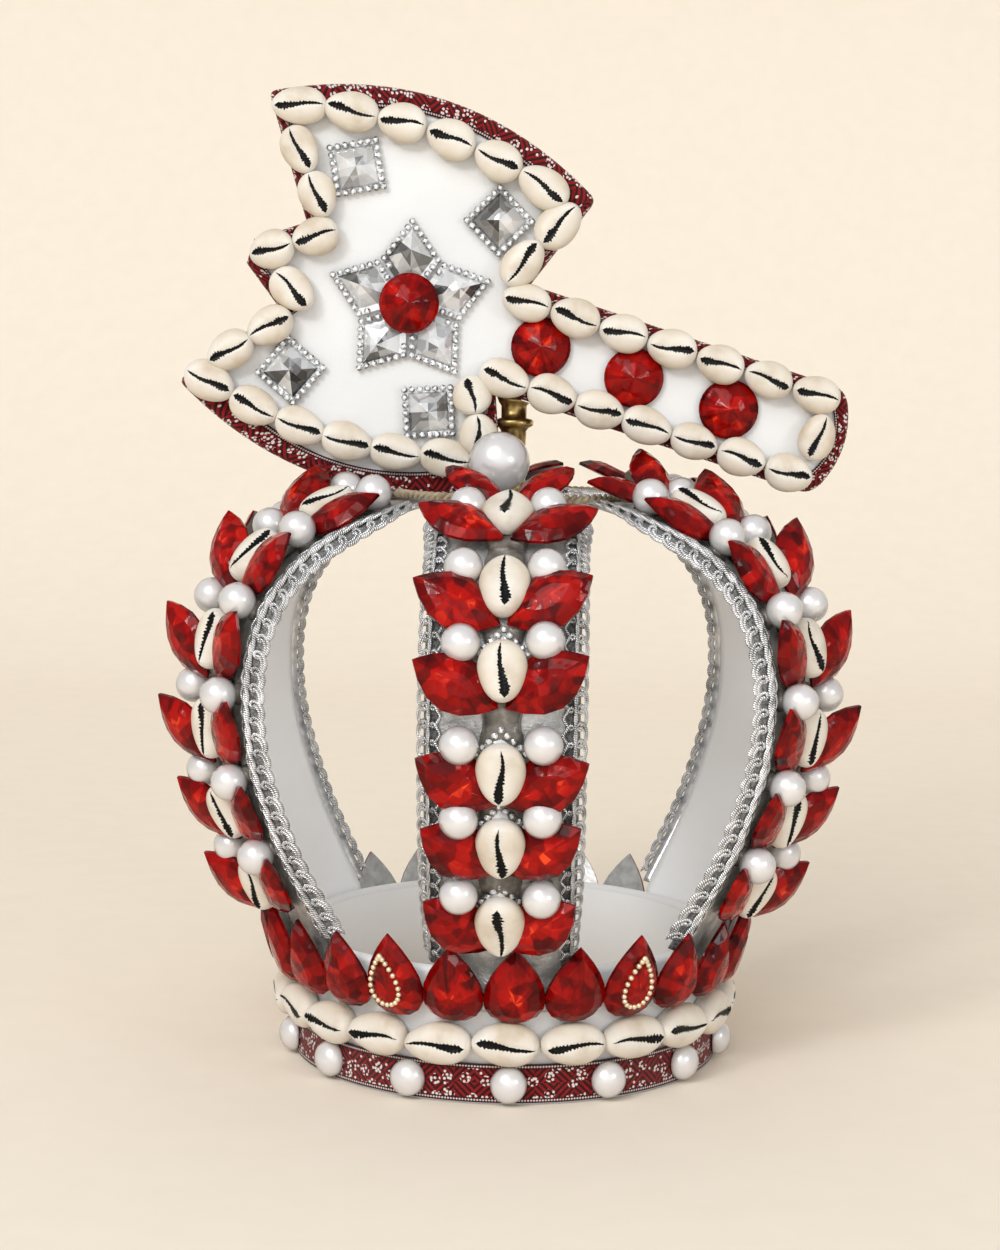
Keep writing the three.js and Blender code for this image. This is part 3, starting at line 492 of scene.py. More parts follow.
pearl, pearl_tree, pearl_shader = new_finish("imitation_pearl", {
    "Metallic": 0.3,
    "Roughness": 0.3,
    "Coat Weight": 1.0,
    "Coat Roughness": 0.1,
    "Subsurface Weight": 0.06,
    "Subsurface Radius": (0.9, 0.75, 0.7),
    "Subsurface Scale": 0.002,
})
# Painted shade: the pearl's colour runs from light in its middle to dark at its rim as the surface turns away
# from view.
pearl_facing = add_node(pearl_tree, "ShaderNodeLayerWeight", {"Blend": 0.35}).outputs["Facing"]
pearl_painted_shade = ramp(pearl_tree, pearl_facing, [
    (0.0, (0.82, 0.815, 0.81)),
    (0.35, (0.72, 0.71, 0.705)),
    (0.7, (0.36, 0.345, 0.34)),
    (1.0, (0.18, 0.165, 0.16)),
])
pearl_cloud = ramp(pearl_tree, object_noise(pearl_tree, 220.0), [
    (0.3, (0.96, 0.93, 0.93)),
    (0.7, (1.0, 1.0, 1.0)),
])
dress(pearl_tree, pearl_shader, mixed(pearl_tree, 1.0, pearl_painted_shade, pearl_cloud, "MULTIPLY"))
band_pearl = half_pearl(band_pearl_diameter)
for step in range(band_pearl_count):
    azimuth = band_pearl_turn + 360 * step / band_pearl_count
    seated = on_band(band_pearl, azimuth, ribbon_outer_radius + seat_gap, ribbon_bottom + ribbon_height / 2)
    node = f"band_pearl_{step + 1:02d}"
    add_piece(f"half_{node}", seated, [pearl], "pearl", node)

# Band cowries: natural shells with their humps cut off, glued end to end on their cut backs with the toothed
# slit outward. Each shell differs a little in size, turn and slit, and the UV paints shade into the slit's
# gap.
band_cowrie_count = 22
band_cowrie_level = 20.2
band_cowrie_width = 14.2
band_cowrie_relief = 7.8
cowrie_sides = 40
cowrie_egg_share = 0.12
cowrie_wall = ((0, 0), (0.86, 0), (0.93, 0.12), (0.98, 0.28))
cowrie_dome_rows = 11
cowrie_waist_share = 0.45
slit_length_share = 0.72
slit_sway = 0.11
slit_bend = 2.6
slit_start = 0.3
lip_roll_start = 0.8
lip_roll_share = 0.13
glue_depth = 0.4
shell_size_spread = 0.05
shell_end_chances = [0.35, 0.65]
shell_turn_spread = 4
band_level_spread = 0.5
chooser = np.random.default_rng(11)


def cowrie_slit(along):
    """How far the slit's middle lies across, as a share of the half width, at a share of the half length."""
    return slit_sway * np.sin(slit_bend * along + slit_start)


def cowrie(length, width, relief, slit_end=1, slit_side=1):
    """A cut cowrie, back at z = 0 and length on X. From the cut edge the wall swells to the waist as part of
    an ellipse, then closes over as a quarter ellipse toward the slit's line, where the lips roll in."""
    angle = full_turn(cowrie_sides)
    swell = 1 + cowrie_egg_share * np.cos(angle)
    rim = joined(np.cos(angle), np.sin(angle) * swell)
    line_along = slit_length_share * np.cos(angle)
    line = joined(line_along, slit_side * cowrie_slit(slit_end * line_along))
    low = np.array(cowrie_wall)
    climb = np.linspace(0, 1, cowrie_dome_rows)[:, None]
    over = np.sin(climb * np.pi / 2)
    roll = np.clip((climb - lip_roll_start) / (1 - lip_roll_start), 0, 1) ** 2
    toward = 1 - np.cos(climb * np.pi / 2)
    wall = low[:, :1, None] * rim[None]
    dome = rim[None] + (line - rim)[None] * toward[:, :, None]
    flat = np.concatenate([wall, dome]) * [length / 2, width / 2]
    low_height = np.repeat(low[:, 1:] * relief, len(angle), axis=1)
    dome_height = relief * (cowrie_waist_share + (1 - cowrie_waist_share) * over - lip_roll_share * roll)
    height = np.concatenate([low_height, np.repeat(dome_height, len(angle), axis=1)])
    points = np.concatenate([flat, height[..., None]], axis=-1)
    uv = joined(slit_end * points[..., 0] / length + 0.5, slit_side * points[..., 1] / width + 0.5)
    return surface(points, uv)


shell, shell_tree, shell_shader = new_finish("cowrie_shell", {
    "Roughness": 0.35,
    "Coat Weight": 0.08,
    "Coat Roughness": 0.15,
    "Specular IOR Level": 0.12,
    "Subsurface Weight": 0.15,
    "Subsurface Radius": (1.0, 0.7, 0.45),
    "Subsurface Scale": 0.0015,
})
shell_u, shell_v = uv_places(shell_tree)[1:]
shell_along = reckon(shell_tree, "MULTIPLY_ADD", shell_u, 2.0, -1.0)
shell_across = reckon(shell_tree, "MULTIPLY_ADD", shell_v, 2.0, -1.0)
slit_way = reckon(shell_tree, "MULTIPLY_ADD", shell_along, slit_bend, slit_start)
slit_phase = reckon(shell_tree, "SINE", slit_way)
slit_offset = reckon(shell_tree, "MULTIPLY_ADD", slit_phase, -slit_sway, shell_across)
from_slit = reckon(shell_tree, "ABSOLUTE", slit_offset)
slit_width = add_node(shell_tree, "ShaderNodeFloatCurve", {"Value": shell_u})
for place, reach in ((0.06, 0.0), (0.12, 0.13), (0.22, 0.185), (0.36, 0.15), (0.6, 0.09), (0.82, 0.06)):
    slit_width.mapping.curves[0].points.new(place, reach)
slit_width.mapping.curves[0].points[0].location = (0.0, 0.0)
slit_width.mapping.curves[0].points[-1].location = (0.95, 0.0)
slit_width.mapping.update()
tooth_wave = reckon(shell_tree, "PINGPONG", reckon(shell_tree, "MULTIPLY", shell_along, 9.0), 0.5)
tooth_noise = object_noise(shell_tree, 900.0, 1.0)
tooth_base = reckon(shell_tree, "MULTIPLY_ADD", tooth_noise, 1.2, 0.2)
tooth_reach = reckon(shell_tree, "MULTIPLY_ADD", tooth_wave, 0.9, tooth_base)
gap_reach = reckon(shell_tree, "MULTIPLY", slit_width.outputs["Value"], tooth_reach)
in_gap = reckon(shell_tree, "LESS_THAN", from_slit, gap_reach)
ivory_noise = object_noise(shell_tree, 110.0, 3.0)
ivory = ramp(shell_tree, ivory_noise, [
    (0.25, (0.63, 0.555, 0.455)),
    (0.45, (0.75, 0.7, 0.62)),
    (0.75, (0.83, 0.8, 0.74)),
])
# Whiter at the lips beside the slit and darker toward the rim: partly the shell's own paler lips, partly
# painted shade where the dome turns away.
lip_paleness_and_rim_shade = ramp(shell_tree, from_slit, [
    (0.1, (1.0, 1.0, 1.0)),
    (0.55, (0.97, 0.94, 0.9)),
    (1.0, (0.86, 0.8, 0.71)),
])
whole_shell = mixed(shell_tree, 1.0, ivory, lip_paleness_and_rim_shade, "MULTIPLY")
# The slit's gap is painted near black: painted shade inside the shell's hollow.
shell_colour = mixed(shell_tree, in_gap, whole_shell, (0.002, 0.002, 0.002))
rib_wave = reckon(shell_tree, "SINE", reckon(shell_tree, "MULTIPLY", shell_along, 56.0))
rib_end = reckon(shell_tree, "MINIMUM", reckon(shell_tree, "MULTIPLY", from_slit, 2.2), 1.0)
shell_ribs = reckon(shell_tree, "MULTIPLY", rib_wave, reckon(shell_tree, "SUBTRACT", 1.0, rib_end))
shell_relief = reckon(shell_tree, "MULTIPLY_ADD", in_gap, -4.0, shell_ribs)
dress(shell_tree, shell_shader, shell_colour, shell_relief, 0.00006)


def shell_like(length, width, relief):
    """One shell near the given size, with its slit's wide end and bend chosen at random."""
    grown = 1 + chooser.uniform(-shell_size_spread, shell_size_spread, 2)
    ends = chooser.choice([-1, 1], 2, p=shell_end_chances)
    made = cowrie(length * grown[0], width * grown[1], relief * grown[1], ends[0], ends[1])
    return moved(made, turn("Z", chooser.uniform(-shell_turn_spread, shell_turn_spread)))


band_cowrie_reach = band_radius + seat_gap + band_cowrie_relief * cowrie_waist_share
band_cowrie_length = 2 * (band_cowrie_reach * math.tan(math.pi / band_cowrie_count) + glue_depth)
band_shells = [
    on_band(
        shell_like(band_cowrie_length, band_cowrie_width, band_cowrie_relief),
        360 * step / band_cowrie_count,
        band_radius + seat_gap,
        band_cowrie_level + chooser.uniform(-band_level_spread, band_level_spread),
    )
    for step in range(band_cowrie_count)
]
add_piece("cowries_round_band", fused(band_shells), [shell], "shell", "band_cowries")

# Teardrop stones: cut red acrylic with a silver foil back, standing point up round the band and leaning out
# over the feet of the arches. The cut throws patches of light and dark red, which the finish paints in as
# painted light and shade.
drop_count = 25
drop_turn = 1.9
drop_level = 27.5
drop_length = 25.5
drop_thickness = 5.5
visible_drop_length = 27.0
beaded_drop_length = 29.5
beaded_drops = (-2, 2)
drop_tip_clearance = 2.1
foot_slope = 65.0
braid_thickness = 2.0
strip_width = 42.0
strip_thickness = 1.2
strip_lateral_steps = 3
facet_bulge = band_radius * (1 - math.cos(strip_width / (2 * strip_lateral_steps * band_radius)))
foot_radius = band_radius + seat_gap + facet_bulge + strip_thickness / 2
drop_seat_radius = foot_radius + strip_thickness / 2 + seat_gap
drop_spacing = 2 * drop_seat_radius * math.tan(math.pi / drop_count)
drop_rise = drop_length * math.sin(math.radians(foot_slope))
arch_reach = (drop_level + drop_rise - band_height) / math.tan(math.radians(foot_slope))
drop_lean = math.degrees(math.atan((arch_reach + braid_thickness + drop_tip_clearance) / drop_rise))
drop_room = 1 - math.sin(math.radians(drop_lean)) * math.tan(math.pi / drop_count)
drop_width = (drop_spacing + glue_depth) / drop_room
column_shade_share = 0.55
pear_peak = 0.7698
teardrop_sides = 20
teardrop_middle_share = 0.37
teardrop_rings = ((1, 1, 0.2), (0.8, 0.84, 0.62), (0.5, 0.52, 0.95), (0.25, 0.26, 1), (0, 0, 1))


def cut_stone(outline, centre, rings, thickness):
    """A flat-backed stone. The outline (columns, 2) is drawn in toward the centre by each ring's share in X
    and in Y, at a share of the thickness. Its facets are flat, and each has its own shade, a level of painted
    light and shade."""
    rings = np.asarray([(0, 0, 0), (1, 1, 0), *rings], float)
    flat = centre + (outline - centre)[None] * rings[:, None, :2]
    height = np.repeat(rings[:, 2:] * thickness, len(outline), axis=1)
    points = np.concatenate([flat, height[..., None]], axis=-1)
    columns = len(outline) - 1
    # Each facet gets a random level of painted light and shade, partly shared along its column from rim to
    # point.
    column_shade = chooser.uniform(0, 1, (1, columns))
    facet_shade = chooser.uniform(0, 1, (len(rings) - 1, columns))
    shade = column_shade_share * column_shade + (1 - column_shade_share) * facet_shade
    finish = np.zeros((len(rings) - 1, columns), int)
    finish[0] = 1
    share = np.linspace(0, 1, len(outline))[None, :]
    depth = (np.arange(len(rings)) / (len(rings) - 1))[:, None]
    return surface(points, joined(share, depth), finish, shade, False)


def faceted(tree, shader, patches, shares, stops, depth, **settings):
    """Colours a cut stone with painted light and shade: its level is the sum of facet shade, patch chance and
    way in from the rim by their shares, and the edges between its patches bump the surface by depth in
    metres."""
    place = add_node(tree, "ShaderNodeTexCoord").outputs["Object"]
    cells = add_node(tree, "ShaderNodeTexVoronoi", {"Vector": place, **patches}, **settings)
    chance = add_node(tree, "ShaderNodeSeparateColor", {"Color": cells.outputs["Color"]}).outputs["Red"]
    shade = add_node(tree, "ShaderNodeAttribute", attribute_name="shade").outputs["Fac"]
    level = 0.0
    for share, term in zip(shares, (shade, chance, uv_places(tree)[2])):
        level = reckon(tree, "MULTIPLY_ADD", term, share, level)
    dress(tree, shader, ramp(tree, level, stops), cells.outputs["Distance"], depth)


def teardrop(length, width, thickness):
    """A pear outline, round end at y = 0 and point at y = length: across is sin t sin(t/2), which peaks at
    pear_peak, and along is 1 + cos t. Its crown has a steep rim, two rows of facets and a table."""
    way = np.linspace(0, 2 * np.pi, teardrop_sides + 1)
    across = -width / 2 / pear_peak * np.sin(way) * np.abs(np.sin(way / 2))
    outline = joined(across, length / 2 * (1 + np.cos(way)))
    outline[-1] = outline[0]
    return cut_stone(outline, np.array([0, teardrop_middle_share * length]), teardrop_rings, thickness)


red_stone, *red_parts = new_finish("red_cut_acrylic", {
    "Roughness": 0.08,
    "IOR": 1.5,
    "Coat Weight": 0.06,
    "Coat Roughness": 0.02,
    "Specular IOR Level": 0.14,
})
# The ramp paints the light the cut throws: near-black red for shaded facets and the rim, orange red for
# painted glints.
faceted(*red_parts, {"Scale": 250.0, "Randomness": 1.0, "Smoothness": 0.35}, (0.3, 0.42, 0.3), [
    (0.18, (0.03, 0.0, 0.0)),
    (0.4, (0.11, 0.001, 0.001)),
    (0.62, (0.25, 0.002, 0.001)),
    (0.82, (0.45, 0.006, 0.003)),
    (0.96, (0.85, 0.07, 0.015)),
], 0.0004, feature="SMOOTH_F1")
foil = cloudy_finish("silver_foil_back", {"Metallic": 0.9, "Roughness": 0.38}, (300.0,), [
    (0.3, (0.4, 0.4, 0.39)),
    (0.7, (0.62, 0.62, 0.61)),
], reliefs=[(1.0, (700.0,))], depth=0.00012)
drops = []
for step in range(drop_count):
    beaded = step in [beaded_step % drop_count for beaded_step in beaded_drops]
    stone = teardrop(beaded_drop_length if beaded else visible_drop_length, drop_width, drop_thickness)
    drops.append(on_band(stone, drop_turn + 360 * step / drop_count, drop_seat_radius, drop_level, drop_lean))
add_piece("teardrops_round_band", fused(drops), [red_stone, foil], "red_stone", "band_teardrops")

# Bead outlines: two of the front teardrops carry a small pear outline of round beads in a pale gold finish,
# glued on one by one.
bead_diameter = 1.75
bead_width_share = 0.5
bead_height_share = 0.6
bead_bottom_share = 0.22
bead_count = 24
bead_aside = 0.9


def ball(diameter, around=10, rings=7):
    """A round bead about the origin: a half circle turned once round Z."""
    angle = np.linspace(-np.pi / 2, np.pi / 2, rings)
    line = joined(np.cos(angle), np.sin(angle)) * diameter / 2
    line[[0, -1], 0] = 0
    return turned(line, around)


gold = cloudy_finish("gold_beads", {"Metallic": 0.7, "Roughness": 0.28}, (900.0,), [
    (0.3, (0.8, 0.62, 0.36)),
    (0.7, (0.97, 0.88, 0.68)),
])
bead_way = np.linspace(0, 2 * np.pi, bead_count, endpoint=False)
bead_across = -bead_width_share * drop_width / 2 / pear_peak * np.sin(bead_way) * np.sin(bead_way / 2)
bead_along = beaded_drop_length * (bead_bottom_share + bead_height_share / 2 * (1 + np.cos(bead_way)))
for side, step in zip(("left", "right"), beaded_drops):
    beads = [
        moved(ball(bead_diameter), shift(across - bead_aside, along, drop_thickness))
        for across, along in zip(bead_across, bead_along)
    ]
    azimuth = drop_turn + 360 * step / drop_count
    ringed = on_band(fused(beads), azimuth, drop_seat_radius, drop_level, drop_lean)
    add_piece(f"bead_outline_{side}", ringed, [gold], "brass")

# Arch strips: six strips of stiff core, with silver metallic cloth glued on the outside and white cloth on
# the inside. Each foot is glued flat on the band, and the heads meet over a round plate.
arch_azimuths = {
    "front": -1.5,
    "right_front": 64.0,
    "right_back": 118.0,
    "back": 183.0,
    "left_back": 244.0,
    "left_front": 295.0,
}
tab_length = 12.6
belly_radius = 100.5
belly_rise = 85.0
arch_rise = 147.0
crown_hole_radius = 16.0
foot_pull_share = 0.6
belly_low_pull_share = 0.26
belly_high_pull_share = 0.77
top_pull_share = 0.58
rounding_length = 40.0
braid_width = 9.2
fold_gap = 2 * seat_gap
curve_steps = 600
heading_reach = 0.2


def bezier(start, pull, draw, end):
    """The cubic curve through start and end, pulled toward the two points between, as an array of points."""
    share = np.linspace(0, 1, curve_steps)[:, None]
    rest = 1 - share
    weights = (rest**3, 3 * rest**2 * share, 3 * rest * share**2, share**3)
    return sum(weight * np.asarray(point) for weight, point in zip(weights, (start, pull, draw, end)))


foot = np.array([foot_radius, band_height])
belly = np.array([belly_radius, band_height + belly_rise])
summit = np.array([0.0, band_height + arch_rise])
foot_heading = np.array([math.cos(math.radians(foot_slope)), math.sin(math.radians(foot_slope))])
foot_pull = foot + foot_heading * np.linalg.norm(belly - foot) * foot_pull_share
lower_curve = bezier(foot, foot_pull, belly - [0, belly_rise * belly_low_pull_share], belly)
upper_curve = bezier(
    belly,
    belly + [0, (arch_rise - belly_rise) * belly_high_pull_share],
    [belly_radius * top_pull_share, summit[1]],
    summit,
)
tab_line = np.linspace([foot_radius, band_height - tab_length], foot, 80)
profile_line = np.vstack([tab_line[:-1], lower_curve[:-1], upper_curve])


def run_along(line):
    """The length run at each point of a line, from 0."""
    steps = np.linalg.norm(np.diff(line, axis=0), axis=1)
    return np.concatenate([[0], np.cumsum(steps)])


profile_length = run_along(profile_line)
path_length = profile_length[-1]
strip_end = path_length - tab_length - crown_hole_radius


def profile_at(along):
    """Radius, height and direction of the arch at a length from the band's rim, read off the drawn curve."""
    place = np.clip(np.asarray(along, float) + tab_length, 0, path_length)
    places = [np.clip(place + reach, 0, path_length) for reach in (0, -heading_reach, heading_reach)]
    here, before, after = (
        [np.interp(each, profile_length, column) for column in profile_line.T] for each in places
    )
    run, rise = after[0] - before[0], after[1] - before[1]
    size = np.hypot(run, rise)
    return here[0], here[1], run / size, rise / size


def on_arch(across, along, height):
    """Places on the front arch: across from its middle line, along from the rim, height over the strip's
    middle. The strip is rolled round the band at its foot and flattens over the first stretch above it."""
    radius, level, run, rise = profile_at(along)
    out = radius + rise * height
    share = np.clip(along / rounding_length, 0, 1)
    rolled = 1 - share * share * (3 - 2 * share)
    sweep = across / np.maximum(radius, 1.0)
    side = across + (out * np.sin(sweep) - across) * rolled
    front = out + (out * np.cos(sweep) - out) * rolled
    return joined(side, -front, level - run * height)


def arch_frame(along, height):
    """The 4 x 4 place on the front arch of a piece that keeps its shape: X across, Y along, Z outward."""
    radius, level, run, rise = profile_at(along)
    place = np.eye(4)
    place[:3, 1] = (0, -run, rise)
    place[:3, 2] = (0, -rise, -run)
    place[:3, 3] = on_arch(0.0, along, height)
    return place


arch_list = list(arch_azimuths.values())
arch_angles = [(after - before) % 360 for before, after in zip(arch_list, arch_list[1:] + arch_list[:1])]
meeting_slope = math.tan(math.radians(min(arch_angles) / 2))
strip_outer = strip_thickness / 2


def strip_half_width(along):
    """Half the strip's width: full below, and narrowing where neighbours meet toward the top."""
    edge_clearance = fold_gap + braid_width / 2 + 2 * seat_gap
    return np.minimum(strip_width / 2, profile_at(along)[0] * meeting_slope - edge_clearance)


def capped(grid):
    """The grid with a row added at each end, which closes that end to its middle."""
    middle = grid.mean(axis=1, keepdims=True)
    first, last = (np.repeat(row, grid.shape[1], axis=1) for row in (middle[:1], middle[-1:]))
    return np.concatenate([first, grid, last])


strip_rows = 150
strip_columns = 15
strip_along = np.linspace(-tab_length, strip_end, strip_rows)
section_face = np.linspace(1, -1, strip_columns)
section_shares = np.concatenate([section_face, -section_face, [1]])
section_heights = strip_outer * np.repeat([1, -1, 1], [strip_columns, strip_columns, 1])
strip_across = strip_half_width(strip_along)[:, None] * section_shares
strip_points = capped(on_arch(strip_across, strip_along[:, None], section_heights))
strip_uv_along = np.concatenate([strip_along[:1], strip_along, strip_along[-1:]])
strip_uv = joined(strip_uv_along[:, None], section_shares * strip_width / 2)
strip_sides = np.zeros((len(strip_uv_along) - 1, len(section_shares) - 1), int)
strip_sides[:, strip_columns:2 * strip_columns - 1] = 1
lame = cloudy_finish("silver_lame_cloth", {"Metallic": 0.6, "Roughness": 0.34}, (160.0, 5.0, 0.6), [
    (0.3, (0.42, 0.41, 0.39)),
    (0.55, (0.7, 0.7, 0.69)),
    (0.75, (0.88, 0.88, 0.88)),
], reliefs=[(1.0, (1900.0, 2.0)), (5.0, (130.0, 4.0))], depth=0.00022)
for place, azimuth in arch_azimuths.items():
    strip = moved(surface(strip_points, strip_uv, strip_sides), turn("Z", azimuth))
    add_piece(f"cloth_strip_{place}", strip, [lame, lining], "lame", f"arch_strip_{place}")

# Gimp braid: a silver scroll trimming glued along both edges of each strip, over a dark sheet that paints the
# shade in its gaps. Two cords twist along its middle, small loops lie on the strip beside them, and wide
# curls droop past its edge.
braid_start = 3.0
braid_droop = 50.0
droop_shift = 1.0
droop_end = 20.0
droop_fade = 40.0
short_braid_end = 40.0
blade_arches = ("left_back", "left_front")
scroll_pitch = 5.3
cord_radius = 0.6
cord_wave = 0.3
wave_lag = 0.8
curl_places = ((2.8, 2.3, 0.0), (2.9, 1.25, 0.7))
curl_rise = 0.35
curl_steps = 14
loop_place = -2.3
loop_radius = 1.7
loop_squareness = 0.18
twist_radius = 0.45
twist_place = -0.2
twist_rise = 0.9
twist_wave = 0.2
shade_sheet_reach = (-3.6, 2.0)
shade_sheet_thickness = 0.3
shade_sheet_rows = 120


def on_braid(across, along, height):
    """Places on the right-hand braid of the front arch: across from its fold, which lies just past the
    strip's edge. The part beyond the fold droops by its angle, and lies flat again toward the plate."""
    share = np.clip((along - (strip_end - droop_end - droop_fade)) / droop_fade, 0, 1)
    drooping = 1 - share * share * (3 - 2 * share)
    droop = np.radians(braid_droop) * drooping
    across = across + droop_shift * drooping
    past = np.maximum(across, 0)
    outward = strip_half_width(along) + fold_gap + np.minimum(across, 0) + past * np.cos(droop)
    return on_arch(outward, along, height - past * np.sin(droop))


def cord(path, radius, sides=5):
    """A round cord along a path (points, 3), closed to a point at both ends. The ring at each point stands
    square to the path, from its direction and the height axis."""
    heading = np.gradient(path, axis=0)
    heading /= np.linalg.norm(heading, axis=1, keepdims=True)
    beside = np.cross(heading, [0, 0, 1.0])
    beside /= np.linalg.norm(beside, axis=1, keepdims=True)
    above = np.cross(heading, beside)
    angle = full_turn(sides)
    reach = np.full(len(path), radius)
    reach[[0, -1]] = 0
    ring = beside[:, None] * np.cos(angle)[:, None] + above[:, None] * np.sin(angle)[:, None]
    points = path[:, None] + ring * reach[:, None, None]
    uv = joined(run_along(path)[:, None], np.linspace(0, 1, sides + 1))
    return points, uv


def braid_cords(end):
    """The cords of one edge, as (across from the fold, along, height) paths: a loop runs forward at an even
    rate while it circles, so that it crosses itself once in each pitch."""
    loops = math.floor((end - braid_start - scroll_pitch) / scroll_pitch)
    way = np.linspace(0, loops, loops * curl_steps + 1)
    phase = 2 * np.pi * way
    along = braid_start + scroll_pitch / 2 + scroll_pitch * way
    lift = strip_outer + seat_gap + cord_radius
    wave = cord_wave * np.sin(phase + wave_lag)
    paths = []
    for place, reach, lag in curl_places:
        curl_lift = lift + curl_rise + cord_wave * np.sin(phase + wave_lag + lag)
        paths.append((place + reach * np.cos(phase + lag), along + reach * np.sin(phase + lag), curl_lift))
    radius = loop_radius * (1 + loop_squareness * np.cos(4 * phase))
    across = loop_place - radius * np.cos(phase)
    paths.append((across, along + radius * np.sin(phase), lift + cord_wave + wave))
    calm = np.linspace(0, loops, loops * 4 + 1)
    for side in (-1, 1):
        swing = side * np.cos(np.pi * calm)
        height = lift + twist_rise + twist_wave * side * np.sin(np.pi * calm)
        paths.append((twist_radius * swing + twist_place, braid_start + scroll_pitch * (calm + 0.5), height))
    return [joined(*path) for path in paths]


def braid_shell(end):
    """Both edges of one strip: each path is laid beside the strip's right edge and mirrored to the left."""
    shells = []
    for path in braid_cords(end):
        points, uv = cord(path, cord_radius)
        laid = on_braid(points[..., 0], points[..., 1], points[..., 2])
        shells.append(surface(laid, uv))
        shells.append(surface((laid * [-1, 1, 1])[:, ::-1], uv))
    # A thin sheet under the cords, dark on top and silver beneath, paints the shade in the braid's gaps.
    shade_sheet_along = np.linspace(braid_start, end - scroll_pitch, shade_sheet_rows)[:, None]
    inner, outer = shade_sheet_reach
    across = np.array([inner, 0, outer, outer, 0, inner, inner])
    height = strip_outer + seat_gap + shade_sheet_thickness * np.array([1, 1, 1, 0, 0, 0, 1])
    laid = capped(on_braid(across, shade_sheet_along, height)[:, ::-1])
    dark = np.tile([0, 0, 0, 0, 1, 1], (len(laid) - 1, 1))
    shells.append(surface(laid, finish=dark))
    shells.append(surface((laid * [-1, 1, 1])[:, ::-1], finish=dark[:, ::-1]))
    return fused(shells)


# Painted shade: the dark grey that shows between the braid's cords.
gap_shade = cloudy_finish("painted_gap_shade", {"Roughness": 0.8}, (1500.0,), [
    (0.35, (0.05, 0.05, 0.05)),
    (0.65, (0.25, 0.25, 0.245)),
])
braid, braid_tree, braid_shader = new_finish("silver_gimp_cord", {"Metallic": 0.7, "Roughness": 0.24})
braid_along, braid_round = uv_places(braid_tree)[1:]
braid_turns = reckon(braid_tree, "MULTIPLY", braid_round, 4 * math.pi)
braid_way = reckon(braid_tree, "MULTIPLY_ADD", braid_along, 9.0, braid_turns)
braid_lay = reckon(braid_tree, "SINE", braid_way)
braid_level = reckon(braid_tree, "MULTIPLY_ADD", braid_lay, 0.25, object_noise(braid_tree, 260.0))
# Painted shade and highlight: the colour runs dark in the grooves between the twisted threads and near white
# on their crowns, along the lay.
braid_thread_shading = ramp(braid_tree, braid_level, [
    (0.2, (0.16, 0.16, 0.155)),
    (0.45, (0.6, 0.6, 0.6)),
    (0.68, (0.94, 0.94, 0.95)),
])
dress(braid_tree, braid_shader, braid_thread_shading, braid_lay, 0.00007)
braid_shapes = {
    False: braid_shell(strip_end),
    True: braid_shell(path_length - tab_length - short_braid_end),
}
for place, azimuth in arch_azimuths.items():
    trimmed = moved(braid_shapes[place in blade_arches], turn("Z", azimuth))
    add_piece(f"scroll_braid_{place}", trimmed, [braid, gap_shade], "braid", f"arch_braid_{place}")

# Rim cord: a beige cord of two twisted strands, laid in a ring across the strips' heads and glued to their
# braid. Each strand winds round the ring's middle line at an even rate.
rim_radius = 39.0
rim_strand_radius = 0.85
rim_twist_reach = 0.75
rim_twists = 44
rim_twist_steps = 12
rim_over_strip = 2.7
rim_level = np.interp(rim_radius, upper_curve[::-1, 0], upper_curve[::-1, 1]) + strip_outer + rim_over_strip


def rim_strand(lag):
    """One strand: a closed tube whose middle goes round the ring while it circles the ring's middle line."""
    way = full_turn(rim_twists * rim_twist_steps)
    phase = rim_twists * way + lag
    sides = full_turn(8)
    out = rim_radius + (rim_twist_reach * np.cos(phase))[:, None] + rim_strand_radius * np.cos(sides)
    level = rim_level + (rim_twist_reach * np.sin(phase))[:, None] + rim_strand_radius * np.sin(sides)
    points = joined(out * np.cos(way)[:, None], out * np.sin(way)[:, None], level)
    return surface(points[:, ::-1])


rim_cord = cloudy_finish("beige_twisted_cord", {"Roughness": 0.6, "Sheen Weight": 0.2}, (420.0, 3.0), [
    (0.3, (0.25, 0.19, 0.11)),
    (0.7, (0.5, 0.41, 0.27)),
], reliefs=[(1.0, (1800.0, 2.0))], depth=0.0002)
add_piece("twisted_rim_cord", fused([rim_strand(0.0), rim_strand(np.pi)]), [rim_cord], "braid")

# Sprays: on each strip a bed of hot glue holds cowries over pairs of red marquise stones, which spread like
# wings, with two round pearls between the rows and a small clear stone behind each cowrie. On the two arches
# beside the front one the stones and cowries are turned a little to the front.
spray_rows = 6
first_row_along = 26.0
last_row_from_axis = 66.0
glue_bed_width = 20.0
visible_bed_share = 0.62
front_row_shifts = (-1.6, 0.0, -3.6, -1.6, -5.0, -0.4)
rim_share = 0.22
spray_rolls = {"left_front": 14.0, "right_front": -14.0}
cowrie_roll_share = 1.9
glue_bed_thickness = 4.0
glue_bed_end = 12.0
glue_rows = 130
glue_columns = 15
glue_dip = 0.9
glue_edge_sway = 0.5
glue_edge_rate = 0.55
glue_lumps = ((0.35, 0.9, 0), (0.3, 0.37, 2), (0.2, 2.1, 5))
glue_sink = 1.2
visible_wing_length = 29.6
visible_wing_width = 18.0
wing_thickness = 4.6
wing_sides = 16
wing_rings = ((1, 1, rim_share), (0.78, 0.72, 0.68), (0.5, 0.38, 0.95), (0.34, 0, 1))
wing_seat = 3.2
wing_wobble = 2.5
top_wing_length = 27.5
top_wing_width = 13.4
top_wing_along = 13.0
spray_pearl_diameter = 12.0
spray_pearl_lift = 1.3
spray_pearl_spread = 12.6
spray_pearl_slack = 0.6
